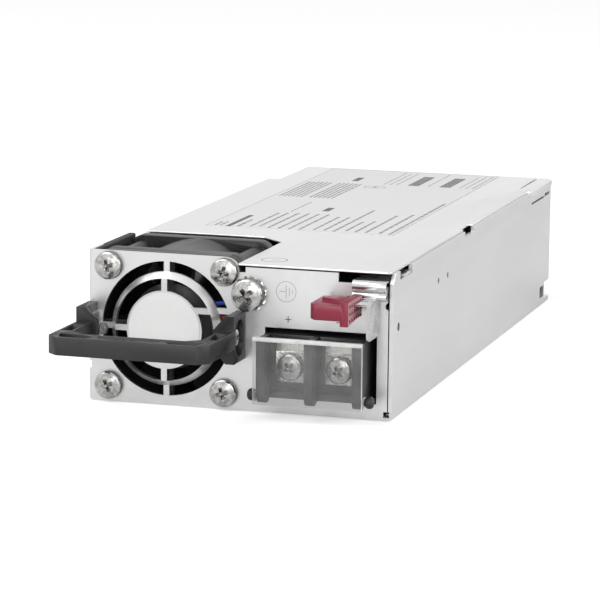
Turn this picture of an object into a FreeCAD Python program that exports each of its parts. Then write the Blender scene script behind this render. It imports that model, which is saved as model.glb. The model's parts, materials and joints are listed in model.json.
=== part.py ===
# A hot-plug power supply module for a rack switch, in millimetres.
# X runs across the face, with +X on the terminal side, Y runs from the face to the rear, Z is up.
# The origin is on the bottom plane, at the middle of the front plate's outer face.
import FreeCAD, Part
import Sketcher
import math
import os

doc = FreeCAD.newDocument("power_supply_module")
sheet = doc.addObject("Spreadsheet::Sheet", "sizes")
sheet_rows = []
nodes = []

ALONG = {
    "x": FreeCAD.Rotation(FreeCAD.Vector(0, 1, 0), 90),
    "y": FreeCAD.Rotation(FreeCAD.Vector(1, 0, 0), -90),
    "z": FreeCAD.Rotation(),
}
SKETCH_TURN = {
    "x": FreeCAD.Rotation(FreeCAD.Vector(1, 1, 1), 120),
    "y": FreeCAD.Rotation(FreeCAD.Vector(1, 0, 0), 90),
    "z": FreeCAD.Rotation(),
}
DIRECTION = {
    "x": FreeCAD.Vector(1, 0, 0),
    "y": FreeCAD.Vector(0, 1, 0),
    "z": FreeCAD.Vector(0, 0, 1),
}


# A length that knows its value and the sheet expression behind it
class Length:
    def __init__(self, value, text):
        self.value = value
        self.text = text

    def __float__(self):
        return float(self.value)

    def __add__(self, other):
        other = length(other)
        return Length(self.value + other.value, f"({self.text} + {other.text})")

    def __radd__(self, other):
        return length(other) + self

    def __sub__(self, other):
        other = length(other)
        return Length(self.value - other.value, f"({self.text} - {other.text})")

    def __rsub__(self, other):
        return length(other) - self

    def __mul__(self, factor):
        factor = length(factor)
        return Length(self.value * factor.value, f"({self.text} * {factor.text})")

    def __rmul__(self, factor):
        return self * factor

    def __truediv__(self, divisor):
        divisor = length(divisor)
        return Length(self.value / divisor.value, f"({self.text} / {divisor.text})")

    def __neg__(self):
        return Length(-self.value, f"(-1 * {self.text})")


def length(item):
    if isinstance(item, Length):
        return item
    return Length(item, f"({item!r})")


# One driving size, kept as a named cell of the sheet
def size(name, value):
    sheet_rows.append(name)
    row = len(sheet_rows)
    sheet.set(f"A{row}", name)
    sheet.set(f"B{row}", str(value))
    sheet.setAlias(f"B{row}", name)
    return Length(value, f"sizes.{name}")


def bind(item, name, value):
    item.setExpression(name, length(value).text)


def place(item, x, y, z, turn):
    item.Placement = FreeCAD.Placement(FreeCAD.Vector(float(x), float(y), float(z)), turn)
    bind(item, ".Placement.Base.x", x)
    bind(item, ".Placement.Base.y", y)
    bind(item, ".Placement.Base.z", z)


# A box from its two opposite corners
def box(x0, x1, y0, y1, z0, z1):
    item = doc.addObject("Part::Box", "block")
    bind(item, "Length", length(x1) - x0)
    bind(item, "Width", length(y1) - y0)
    bind(item, "Height", length(z1) - z0)
    place(item, x0, y0, z0, ALONG["z"])
    return item


# A cylinder that starts at a point and runs along +X, +Y or +Z
def rod(axis, x, y, z, radius, run):
    item = doc.addObject("Part::Cylinder", "rod")
    bind(item, "Radius", radius)
    bind(item, "Height", run)
    place(item, x, y, z, ALONG[axis])
    return item


def cone(axis, x, y, z, start_radius, end_radius, run):
    item = doc.addObject("Part::Cone", "cone")
    bind(item, "Radius1", start_radius)
    bind(item, "Radius2", end_radius)
    bind(item, "Height", run)
    place(item, x, y, z, ALONG[axis])
    return item


def fuse(*shapes):
    item = doc.addObject("Part::MultiFuse", "joined")
    item.Shapes = list(shapes)
    item.Refine = True
    return item


def cut(base, *tools):
    item = doc.addObject("Part::Cut", "cut")
    item.Base = base
    item.Tool = tools[0] if len(tools) == 1 else fuse(*tools)
    item.Refine = True
    return item


# A closed outline in a sketch, with every corner bound to its sizes
def outline(sketch, corners):
    count = len(corners)
    points = [FreeCAD.Vector(float(length(u)), float(length(v)), 0) for u, v in corners]
    for index in range(count):
        sketch.addGeometry(Part.LineSegment(points[index], points[(index + 1) % count]))
    for index in range(count):
        sketch.addConstraint(Sketcher.Constraint("Coincident", index, 2, (index + 1) % count, 1))
    for index, (u, v) in enumerate(corners):
        for kind, value in (("DistanceX", u), ("DistanceY", v)):
            number = sketch.addConstraint(Sketcher.Constraint(kind, -1, 1, index, 1, float(length(value))))
            sketch.setExpression(f"Constraints[{number}]", length(value).text)


# A prism: for axis x the corners are (y, z), for y they are (x, z), for z they are (x, y)
def prism(axis, corners, start, end):
    sketch = doc.addObject("Sketcher::SketchObject", "outline")
    outline(sketch, corners)
    origin = {"x": (start, 0, 0), "y": (0, start, 0), "z": (0, 0, start)}[axis]
    place(sketch, *origin, SKETCH_TURN[axis])
    item = doc.addObject("Part::Extrusion", "prism")
    item.Base = sketch
    item.DirMode = "Custom"
    item.Dir = DIRECTION[axis]
    item.Solid = True
    bind(item, "LengthFwd", length(end) - start)
    return item


# A body with one padded sketch on its own XY plane, lifted to its height
def padded_body(corners, start, end):
    body = doc.addObject("PartDesign::Body", "body")
    sketch = body.newObject("Sketcher::SketchObject", "base_sketch")
    plane = next(item for item in body.Origin.OriginFeatures if item.Role == "XY_Plane")
    sketch.AttachmentSupport = [(plane, "")]
    sketch.MapMode = "FlatFace"
    outline(sketch, corners)
    pad = body.newObject("PartDesign::Pad", "pad")
    pad.Profile = sketch
    bind(pad, "Length", length(end) - start)
    body.Tip = pad
    place(body, 0, 0, start, ALONG["z"])
    return body


# A cut in a body from its top face downward
def pocket(body, corners, depth):
    doc.recompute()
    sketch = body.newObject("Sketcher::SketchObject", "pocket_sketch")
    plane = next(item for item in body.Origin.OriginFeatures if item.Role == "XY_Plane")
    sketch.AttachmentSupport = [(plane, "")]
    sketch.MapMode = "FlatFace"
    pad = next(item for item in body.Group if item.TypeId == "PartDesign::Pad")
    bind(sketch, ".AttachmentOffset.Base.z", Length(float(pad.Length), f"{pad.Name}.Length"))
    outline(sketch, corners)
    cutter = body.newObject("PartDesign::Pocket", "pocket")
    cutter.Profile = sketch
    bind(cutter, "Length", depth)
    body.Tip = cutter


def rectangle(x0, x1, y0, y1):
    return [(x0, y0), (x1, y0), (x1, y1), (x0, y1)]


def finish(item, label):
    item.Label = label
    nodes.append(item)
    return item


def rounded(item, radius, wanted):
    doc.recompute()
    fillet = doc.addObject("Part::Fillet", "rounded")
    fillet.Base = item
    edges = item.Shape.Edges
    picked = [number + 1 for number, edge in enumerate(edges) if wanted(edge)]
    fillet.Edges = [(number, float(radius), float(radius)) for number in picked]
    return fillet


def straight_edge(edge, axis):
    if edge.Curve.TypeId != "Part::GeomLine":
        return False
    way = edge.tangentAt(edge.FirstParameter)
    return abs(abs(way.dot(DIRECTION[axis])) - 1) < 1e-6


def near(value, target):
    return abs(value - float(target)) < 1e-4


# Casing
module_width = size("module_width", 83.2)
module_length = size("module_length", 189.5)
lid_drop = size("lid_drop", 1.5)
lid_sheet = size("lid_sheet", 0.6)
lid_inset = size("lid_inset", 0.6)
lid_corner = size("lid_corner", 1.5)
wall = size("wall", 1.0)
bend = size("bend", 0.9)
sheet_gap = size("sheet_gap", 0.3)
wrap_length = size("wrap_length", 30)
wrap_side = size("wrap_side", 1.1)
hook_y = size("hook_y", 76.5)
hook_run = size("hook_run", 10.5)

# Fan
fan_size = size("fan_size", 40)
fan_depth = size("fan_depth", 28)
hole_inset = size("hole_inset", 4)
fan_wall_gap = size("fan_wall_gap", 0.75)
gasket_depth = size("gasket_depth", 2)
fan_lift = size("fan_lift", 0.4)
plate_drop = size("plate_drop", 0.1)
bore_wall = size("bore_wall", 1.1)
post_radius = size("post_radius", 2.6)
front_flange = size("front_flange", 4.6)
rear_flange = size("rear_flange", 4.2)
flange_corner = size("flange_corner", 3.8)
base_setback = size("base_setback", 1)
strut_width = size("strut_width", 1.6)
motor_base_radius = size("motor_base_radius", 11.4)
motor_base_depth = size("motor_base_depth", 2.4)
hub_radius = size("hub_radius", 11)
hub_wall = size("hub_wall", 1.2)
blade_count = 7
blade_clearance = size("blade_clearance", 0.6)
blade_thickness = size("blade_thickness", 1.1)
shaft_radius = size("shaft_radius", 1.5)
bearing_radius = size("bearing_radius", 3)
bearing_depth = size("bearing_depth", 3)
bearing_tube = size("bearing_tube", 16)
boss_wall = size("boss_wall", 0.8)
stator_depth = size("stator_depth", 8)
pole_width = size("pole_width", 4.4)
fan_screw_run = size("fan_screw_run", 12)
running_fit = size("running_fit", 0.05)
moving_gap = size("moving_gap", 0.6)

# Guard pressed into the front plate
slot_margin = size("slot_margin", 1.0)
slot_width = size("slot_width", 2.7)
dome_slope = size("dome_slope", 1.6)
dome_slot = size("dome_slot", 3.2)
dome_rise = size("dome_rise", 2.0)
spoke = size("spoke", 1.6)
side_spoke_lift = size("side_spoke_lift", 5.6)
lead_spread = size("lead_spread", 1.9)
label_margin = size("label_margin", 0.6)
label_sheet = size("label_sheet", 0.15)

# Screws
fan_head_radius = size("fan_head_radius", 3.7)
fan_head_height = size("fan_head_height", 2.2)
fan_screw_radius = size("fan_screw_radius", 1.9)
ground_gap = size("ground_gap", 2.8)
ground_drop = size("ground_drop", 7.3)
ground_head_radius = size("ground_head_radius", 4.35)
ground_head_height = size("ground_head_height", 3.0)
ground_screw_radius = size("ground_screw_radius", 2)
washer_radius = size("washer_radius", 4.8)
washer_sheet = size("washer_sheet", 0.7)
recess_width = size("recess_width", 0.9)

# Handle
handle_overhang = size("handle_overhang", 1.7)
handle_reach = size("handle_reach", 31.5)
handle_height = size("handle_height", 4.8)
handle_drop = size("handle_drop", 0.2)
arm_width = size("arm_width", 4.2)
bar_depth = size("bar_depth", 6)
corner_cut = size("corner_cut", 2.8)
pocket_rib = size("pocket_rib", 0.7)
pocket_run = size("pocket_run", 12)
groove_width = size("groove_width", 0.7)
cheek_height = size("cheek_height", 12.6)
cheek_depth = size("cheek_depth", 9.5)
cheek_wall = size("cheek_wall", 2.4)
cheek_foot = size("cheek_foot", 5.8)
web_wall = size("web_wall", 1.8)
ear_height = size("ear_height", 8)
handle_screw_radius = size("handle_screw_radius", 1.5)
handle_head_radius = size("handle_head_radius", 2.2)
handle_head_height = size("handle_head_height", 0.9)
handle_screw_reach = size("handle_screw_reach", 6.8)
handle_screw_y = size("handle_screw_y", 4.8)
recess_radius = size("recess_radius", 3.2)
recess_depth = size("recess_depth", 1.4)

# Terminal block
terminal_gap = size("terminal_gap", 7.45)
latch_space = size("latch_space", 5)
terminal_bottom = size("terminal_bottom", 4.4)
terminal_rise = size("terminal_rise", 0.7)
terminal_reach = size("terminal_reach", 8.9)
terminal_inside = size("terminal_inside", 13)
barrier = size("barrier", 1.6)
barrier_lip = size("barrier_lip", 0.8)
lip_depth = size("lip_depth", 1.4)
contact_sheet = size("contact_sheet", 0.6)
clamp_sheet = size("clamp_sheet", 0.9)
hinge_y = size("hinge_y", 6.4)
hinge_z = size("hinge_z", 5.9)
knuckle_radius = size("knuckle_radius", 1.9)
skirt = size("skirt", 0.8)
stud_radius = size("stud_radius", 0.8)
arm_radius = size("arm_radius", 1.4)
knob_radius = size("knob_radius", 1.6)
knob_run = size("knob_run", 2.2)
clear_sheet = size("clear_sheet", 0.8)
flap_gap = size("flap_gap", 0.3)
flap_side = size("flap_side", 0.6)

# Latch
spring_sheet = size("spring_sheet", 0.5)
latch_width = size("latch_width", 9.3)
latch_drop = size("latch_drop", 1.5)
upper_roll = size("upper_roll", 1.45)
lower_roll = size("lower_roll", 1.2)
leaf_end = size("leaf_end", 58.7)
leaf_height = size("leaf_height", 8)
rivet_pitch = size("rivet_pitch", 10.2)
rivet_edge = size("rivet_edge", 1.7)
rivet_slack = size("rivet_slack", 0.75)
roll_radius = size("roll_radius", 0.5)
tab_width = size("tab_width", 10.4)
tab_side = size("tab_side", 6.4)
tab_front = size("tab_front", 16.5)
tab_rear = size("tab_rear", 3.3)
tab_under = size("tab_under", 3.6)
tab_over = size("tab_over", 0.5)
rim_width = size("rim_width", 2.2)
rim_over = size("rim_over", 0.9)
rim_under = size("rim_under", 1.4)
leg_drop = size("leg_drop", 9.7)
leg_front = size("leg_front", 10.7)
leg_corner_radius = size("leg_corner_radius", 1.6)

# Boards and what stands on them
board_sheet = size("board_sheet", 1.6)
board_lift = size("board_lift", 3)
board_edge = size("board_edge", 2.2)
board_step = size("board_step", 16)
insulator = size("insulator", 0.3)
top_room = size("top_room", 4.7)
post_edge = size("post_edge", 4.4)
core_width = size("core_width", 34)
core_depth = size("core_depth", 26)
core_wall = size("core_wall", 4.5)
core_leg = size("core_leg", 11)
core_y = size("core_y", 101)
coil_overhang = size("coil_overhang", 4)
can_radius = size("can_radius", 9)
can_y = size("can_y", 60)
can_pitch = size("can_pitch", 20)
choke_radius = size("choke_radius", 9)
choke_section = size("choke_section", 4)
choke_wire = size("choke_wire", 0.8)
choke_y = size("choke_y", 64)
sink_plate = size("sink_plate", 3)
sink_fin = size("sink_fin", 6)
sink_edge = size("sink_edge", 2.1)
sink_y = size("sink_y", 94)
sink_rear_gap = size("sink_rear_gap", 18)
device_width = size("device_width", 10)
device_depth = size("device_depth", 4.5)
device_height = size("device_height", 15)
film_width = size("film_width", 18)
film_depth = size("film_depth", 8)
film_height = size("film_height", 13)
control_width = size("control_width", 32)
control_sheet = size("control_sheet", 1.6)
chip_width = size("chip_width", 8)
connector_width = size("connector_width", 52)
connector_height = size("connector_height", 12)
connector_inside = size("connector_inside", 14)
connector_outside = size("connector_outside", 5.5)
connector_wall = size("connector_wall", 1.5)
blade_sheet = size("blade_sheet", 0.8)

# Places worked out from the sizes
HALF = module_width / 2
INNER = HALF - wall
FAN_X = fan_wall_gap - INNER + fan_size / 2
FAN_Z = fan_lift + fan_size / 2
FAN_RIGHT = FAN_X + fan_size / 2
FAN_TOP = fan_lift + fan_size
FAN_FRONT = wall + gasket_depth
FAN_REAR = FAN_FRONT + fan_depth
PLATE_TOP = FAN_TOP - plate_drop
LID_TOP = FAN_TOP - lid_drop
LID_BASE = LID_TOP - lid_sheet
RIGHT_TOP = LID_BASE - sheet_gap
LID_EDGE = HALF - lid_inset
HOLE = fan_size / 2 - hole_inset
BORE_RADIUS = fan_size / 2 - bore_wall
SLOT_OUTER = BORE_RADIUS - slot_margin
SLOT_INNER = SLOT_OUTER - slot_width
DOME_RADIUS = SLOT_INNER - dome_slope
DISC_RADIUS = DOME_RADIUS - dome_slot
GROUND_X = FAN_RIGHT + ground_gap
GROUND_Z = LID_BASE - ground_drop
HANDLE_LEFT = FAN_X - fan_size / 2 - handle_overhang
HANDLE_RIGHT = FAN_RIGHT + handle_overhang
HANDLE_Z = FAN_Z - handle_drop
BOARD_Z = wall + board_lift
BOARD_TOP = BOARD_Z + board_sheet
TERMINAL_LEFT = FAN_RIGHT + terminal_gap
TERMINAL_RIGHT = INNER - latch_space
TERMINAL_TOP = FAN_Z + terminal_rise
CELL = (TERMINAL_RIGHT - TERMINAL_LEFT - 3 * barrier) / 2
CELL_X = (TERMINAL_LEFT + barrier + CELL / 2, TERMINAL_RIGHT - barrier - CELL / 2)
TERMINAL_Z = (terminal_bottom + TERMINAL_TOP) / 2 + 0.2
FACE_Y = length(-0.8)
CLAMP_Y = FACE_Y - contact_sheet - clamp_sheet
CLAMP_HALF = CELL * 0.35
TERMINAL_HEAD = CELL * 0.3
TERMINAL_SCREW = CELL * 0.15
LATCH_TOP = LID_BASE - latch_drop
LATCH_FOOT = LATCH_TOP - 2 * upper_roll - 2 * lower_roll + spring_sheet
LEAF_X = INNER - sheet_gap - spring_sheet
LATCH_LEFT = INNER - latch_width
LEG_X = TERMINAL_RIGHT + 1.8
RIVET_Z = LATCH_TOP - 7.5
RIVET_Y = (leaf_end - rivet_edge - rivet_pitch, leaf_end - rivet_edge)
TAB_RIGHT = INNER - tab_side
TAB_LEFT = TAB_RIGHT - tab_width
TALL = LID_BASE - top_room - BOARD_TOP


# Four holes or posts at the fan's corners
def fan_holes(y, radius, run):
    return [rod("y", FAN_X + side * HOLE, y, FAN_Z + rise * HOLE, radius, run)
            for side in (-1, 1) for rise in (-1, 1)]


# Ring of slots, leaving spokes between them
def ring_slots(outer, inner, y0, y1, right_spoke):
    ring = cut(rod("y", FAN_X, y0, FAN_Z, outer, y1 - y0), rod("y", FAN_X, y0, FAN_Z, inner, y1 - y0))
    upright = box(FAN_X - spoke / 2, FAN_X + spoke / 2, y0, y1, FAN_Z - outer, FAN_Z + outer)
    left = box(FAN_X - outer, FAN_X, y0, y1, FAN_Z - spoke / 2, FAN_Z + spoke / 2)
    right_z = FAN_Z + right_spoke
    right = box(FAN_X, FAN_X + outer, y0, y1, right_z - spoke / 2, right_z + spoke / 2)
    return cut(ring, upright, left, right)


# Pressed dome of the fan guard
def guard_dome():
    lip = wall / 2
    outside = cone("y", FAN_X, -dome_rise, FAN_Z, DOME_RADIUS, SLOT_INNER, dome_rise)
    rim = rod("y", FAN_X, 0, FAN_Z, SLOT_INNER, wall)
    hollow_radius = DOME_RADIUS - lip
    inside = cone("y", FAN_X, wall - dome_rise, FAN_Z, hollow_radius, SLOT_INNER - lip, dome_rise)
    return cut(fuse(outside, rim), inside)


def front_plate():
    corner_x = FAN_RIGHT - PLATE_TOP + FAN_Z + HOLE
    corner_radius = PLATE_TOP - FAN_Z - HOLE
    tongue_left = FAN_RIGHT + 1.65
    fan_part = box(-HALF, corner_x, 0, wall, 0, PLATE_TOP)
    corner = rod("y", corner_x, 0, FAN_Z + HOLE, corner_radius, wall)
    below_corner = box(corner_x, FAN_RIGHT, 0, wall, 0, FAN_Z + HOLE)
    right_part = box(FAN_RIGHT, INNER - sheet_gap, 0, wall, 0, RIGHT_TOP)
    notch = box(FAN_RIGHT - plate_drop, tongue_left, -wall, 2 * wall, FAN_Z + HOLE + 0.2, LID_BASE)
    plate = fuse(fan_part, corner, below_corner, cut(right_part, notch))
    openings = [
        ring_slots(SLOT_OUTER, SLOT_INNER, -wall, 2 * wall, side_spoke_lift),
        rod("y", FAN_X, -wall, FAN_Z, SLOT_INNER, 3 * wall),
        rod("y", GROUND_X, -wall, GROUND_Z, ground_screw_radius, 3 * wall),
        box(TERMINAL_LEFT - 0.4, TERMINAL_RIGHT + 1.8, -wall, 2 * wall, terminal_bottom - 0.2,
            TERMINAL_TOP + 1.5),
        box(LATCH_LEFT - 4.4, INNER, -wall, 2 * wall, LATCH_TOP - 1.2, LID_BASE),
        box(INNER - 0.5, INNER, -wall, 2 * wall, LATCH_FOOT - 2.1, LATCH_TOP),
        rod("y", INNER, -wall, LATCH_FOOT - 2.1, 1.1, 3 * wall),
        rod("y", INNER, -wall, LATCH_TOP - 1.1, 1.1, 3 * wall),
        box(FAN_RIGHT - 0.9, FAN_RIGHT + 1.3, -wall, 2 * wall, -wall, 0.8 * wall),
        box(0.7 - INNER, 5.4 - INNER, -wall, 2 * wall, 0.55 * wall, 0.95 * wall),
    ] + fan_holes(-wall, fan_screw_radius + running_fit, 3 * wall)
    dome = cut(guard_dome(), ring_slots(DOME_RADIUS, DISC_RADIUS, -2 * dome_rise, 0, side_spoke_lift))
    return fuse(cut(plate, *openings), dome)


# Ears lanced forward from the plate, which the handle's screws pass through
def handle_ears():
    ear_left = HANDLE_LEFT + cheek_wall
    ear_right = HANDLE_RIGHT - cheek_wall
    low = HANDLE_Z - ear_height / 2
    high = HANDLE_Z + ear_height / 2
    reach = -cheek_depth + web_wall + sheet_gap
    left = box(ear_left, ear_left + wall, reach, wall, low, high)
    right = box(ear_right - wall, ear_right, reach, wall, low, high)
    hole = rod("x", HANDLE_LEFT, -handle_screw_y, HANDLE_Z, handle_screw_radius + running_fit,
               HANDLE_RIGHT - HANDLE_LEFT)
    return cut(fuse(left, right), hole)


def base_chassis():
    floor = box(-HALF, HALF, 0, module_length, 0, wall)
    left_wall = box(-HALF, -INNER, 0, module_length, 0, LID_BASE)
    left_horn = box(-HALF, -INNER, 0, 9, 0, PLATE_TOP)
    right_wall = box(INNER, HALF, 0, module_length, 0, LID_BASE)
    rear_wall = box(-HALF, HALF, module_length - wall, module_length, 0, LID_BASE)
    shell = fuse(floor, left_wall, left_horn, right_wall, rear_wall)
    through = INNER - wall
    outside = HALF + wall
    fan_bay = box(-INNER, FAN_RIGHT + 0.9, wall, FAN_REAR + 4.5, -wall, 2 * wall)
    catch_window = box(through, outside, 6.5, 18.5, LATCH_TOP - 0.7, LID_BASE + wall)
    hook_window = box(through, outside, hook_y, hook_y + hook_run, LID_BASE - 1.4, LID_BASE + wall)
    foot_step = box(through, outside, module_length - 6.6, module_length + wall, 1.9, 7)
    foot_slot = box(through, outside, module_length - 12.8, module_length - 7.5, 2.7, 6.2)
    side_slot = box(through, outside, module_length - 27.5, module_length - 9.5, LID_BASE - 4, LID_BASE - 3.4)
    end_slot = box(through, outside, module_length - 8.7, module_length - 2.2, LID_BASE - 3.8, LID_BASE - 2.9)
    sensor_hole = rod("x", through, 5.4, 23.9, 1.15, 3 * wall)
    top_chamfer = prism("x", [(length(-1), LID_BASE - 3.5), (length(3.5), LID_BASE + 1),
                              (length(-1), LID_BASE + 1)], through, outside)
    corner_notch = box(-outside, 3.5 - HALF, module_length - wrap_length - 1.5, module_length + wall,
                       LID_BASE - 1.6, LID_BASE + wall)
    gap = box(INNER - sheet_gap, INNER, -wall, 2 * wall, 0.9, LID_BASE)
    rivet_holes = [rod("x", through, y, RIVET_Z, 0.8, 3 * wall) for y in RIVET_Y]
    window_half = connector_width / 2 + 1
    connector_window = box(-window_half, window_half, module_length - 2 * wall, module_length + wall,
                           BOARD_Z - 0.6, BOARD_TOP + connector_height + 0.4)
    vent_pitch = (module_width - 17.2) / 10
    vents = [rod("y", 8.6 - HALF + vent_pitch * column, module_length - 2 * wall, LID_BASE - 5.5 - 5.6 * row,
                 2, 3 * wall)
             for row in range(3) for column in range(11)]
    shell = cut(shell, fan_bay, catch_window, hook_window, foot_step, foot_slot, side_slot, end_slot,
                sensor_hole, top_chamfer, corner_notch, gap, connector_window, *rivet_holes, *vents)
    whole = fuse(shell, front_plate(), handle_ears())

    def outer_bend(edge):
        centre = edge.CenterOfMass
        along_y = straight_edge(edge, "y") and near(centre.z, 0) and near(abs(centre.x), HALF)
        along_x = (straight_edge(edge, "x") and near(centre.y, 0) and near(centre.z, 0)
                   and centre.x > float(FAN_RIGHT) and edge.Length > 10)
        upright = straight_edge(edge, "z") and near(centre.y, 0) and near(centre.x, -HALF)
        return (along_y and edge.Length > 20) or along_x or (upright and edge.Length > 5)

    whole = rounded(whole, bend, outer_bend)
    corner_relief = box(HALF - 2.3, LID_EDGE, -wall, 1.2 * wall, 0.8, 2.3)
    relief_inside = box(HALF - 2.3, INNER, -wall, 4 * wall, 0.8, 2.3)
    left_notch = box(-outside, 0.8 - HALF, -wall, 4 * wall, 8.4, 10.5)
    return finish(cut(whole, corner_relief, relief_inside, left_notch), "base_chassis")


def top_cover():
    sheet_metal = box(-HALF, LID_EDGE, 0, module_length, LID_BASE, LID_TOP)

    def front_corner(edge):
        centre = edge.CenterOfMass
        return straight_edge(edge, "z") and near(centre.y, 0) and near(centre.x, LID_EDGE)

    sheet_metal = rounded(sheet_metal, lid_corner, front_corner)
    open_left = -HALF - wall
    bay_right = FAN_RIGHT - 0.35
    bay_rear = FAN_REAR + 14
    low = LID_BASE - wall
    high = LID_TOP + wall
    wrap_start = module_length - wrap_length - 1.5
    bay = prism("z", [(open_left, -wall), (bay_right, -wall), (bay_right, bay_rear - 6.5),
                      (bay_right - 7, bay_rear), (open_left, bay_rear)], low, high)
    corner_notch = box(open_left, 3.5 - HALF, wrap_start, module_length + wall, low, high)
    slit = box(HALF - 4.5, HALF - 3.9, module_length - 25.5, module_length + wall, low, high)
    hook_notch = box(LID_EDGE - 1.2, HALF + wall, hook_y, hook_y + hook_run, low, high)
    wrap_out = HALF + lid_sheet
    wrap = fuse(box(INNER, wrap_out, wrap_start, module_length - 1.5, LID_BASE, LID_TOP),
                box(HALF, wrap_out, wrap_start, module_length - 1.5, LID_BASE - wrap_side, LID_TOP))
    plate = cut(sheet_metal, bay, corner_notch, slit, hook_notch)
    whole = fuse(plate, wrap)

    def wrap_bend(edge):
        centre = edge.CenterOfMass
        return straight_edge(edge, "y") and near(centre.x, wrap_out) and near(centre.z, LID_TOP)

    return finish(rounded(whole, lid_sheet * 0.9, wrap_bend), "top_cover")


# Gasket between the plate and the fan
def fan_gasket():
    pad = box(FAN_X - fan_size / 2, FAN_RIGHT, wall, FAN_FRONT, fan_lift, FAN_TOP)

    def gasket_corner(edge):
        return straight_edge(edge, "y")

    pad = rounded(pad, flange_corner, gasket_corner)
    holes = fan_holes(wall, fan_screw_radius + running_fit, gasket_depth)
    return finish(cut(pad, rod("y", FAN_X, wall, FAN_Z, BORE_RADIUS, gasket_depth), *holes), "fan_gasket")


# Fan housing: two flanges on a barrel, with the motor's base on four struts
def fan_frame():
    def flange_edge(edge):
        return straight_edge(edge, "y")

    flanges = [rounded(box(FAN_X - fan_size / 2, FAN_RIGHT, y, y + depth, fan_lift, FAN_TOP),
                       flange_corner, flange_edge)
               for y, depth in ((FAN_FRONT, front_flange), (FAN_REAR - rear_flange, rear_flange))]
    barrel = rod("y", FAN_X, FAN_FRONT, FAN_Z, fan_size / 2, fan_depth)
    posts = fan_holes(FAN_FRONT, post_radius, fan_depth)
    pilots = fan_holes(FAN_FRONT, fan_screw_radius, fan_screw_run - FAN_FRONT)
    lead_notch = box(FAN_X + 15, FAN_RIGHT + wall, LEAD_Y - 1.2, FAN_FRONT + front_flange + 1.2,
                     LEAD_Z - lead_spread - 1.4, LEAD_Z + lead_spread + 1.2)
    body = cut(fuse(barrel, *flanges, *posts), rod("y", FAN_X, FAN_FRONT, FAN_Z, BORE_RADIUS, fan_depth),
               lead_notch, *pilots)
    base = rod("y", FAN_X, BASE_Y, FAN_Z, motor_base_radius, motor_base_depth)
    tube_boss = rod("y", FAN_X, BASE_Y, FAN_Z, BOSS_RADIUS, bearing_tube)
    struts = []
    for turn in (0, 90, 180, 270):
        arm = doc.addObject("Part::Box", "strut")
        bind(arm, "Length", BORE_RADIUS + 0.4)
        bind(arm, "Width", motor_base_depth)
        bind(arm, "Height", strut_width)
        across = math.sin(math.radians(turn)) / 2
        up = math.cos(math.radians(turn)) / 2
        place(arm, FAN_X - strut_width * across, BASE_Y, FAN_Z - strut_width * up,
              FreeCAD.Rotation(DIRECTION["y"], turn))
        struts.append(arm)
    bearing_seat = rod("y", FAN_X, BASE_Y, FAN_Z, bearing_radius, bearing_tube)
    motor_mount = cut(fuse(base, tube_boss, *struts), bearing_seat)
    return finish(fuse(body, motor_mount), "fan_frame")


BASE_Y = FAN_FRONT + base_setback
BOSS_RADIUS = bearing_radius + boss_wall
LEAD_Y = BASE_Y + motor_base_depth / 2
LEAD_Z = FAN_Z + side_spoke_lift
HUB_Y = BASE_Y + motor_base_depth + moving_gap
HUB_END = FAN_REAR - 2


def fan_bearings():
    rings = [cut(rod("y", FAN_X, y, FAN_Z, bearing_radius, bearing_depth),
                 rod("y", FAN_X, y, FAN_Z, shaft_radius + running_fit, bearing_depth))
             for y in (BASE_Y, BASE_Y + bearing_tube - bearing_depth)]
    return finish(group(rings), "fan_bearings")


def fan_shaft():
    return finish(rod("y", FAN_X, BASE_Y, FAN_Z, shaft_radius, HUB_END - BASE_Y), "fan_shaft")


def fan_stator():
    y0 = HUB_Y + 2
    ring = rod("y", FAN_X, y0, FAN_Z, BOSS_RADIUS + 1.4, stator_depth)
    poles = []
    for turn in (0, 90):
        pole = doc.addObject("Part::Box", "pole")
        reach = hub_radius - hub_wall - 2 * moving_gap
        bind(pole, "Length", 2 * reach)
        bind(pole, "Width", stator_depth)
        bind(pole, "Height", pole_width)
        turned = FreeCAD.Rotation(DIRECTION["y"], turn)
        across = (-reach, -pole_width / 2) if turn == 0 else (-pole_width / 2, reach)
        place(pole, FAN_X + across[0], y0, FAN_Z + across[1], turned)
        poles.append(pole)
    whole = fuse(ring, *poles)
    return finish(cut(whole, rod("y", FAN_X, y0, FAN_Z, BOSS_RADIUS, stator_depth)), "fan_stator")


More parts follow.
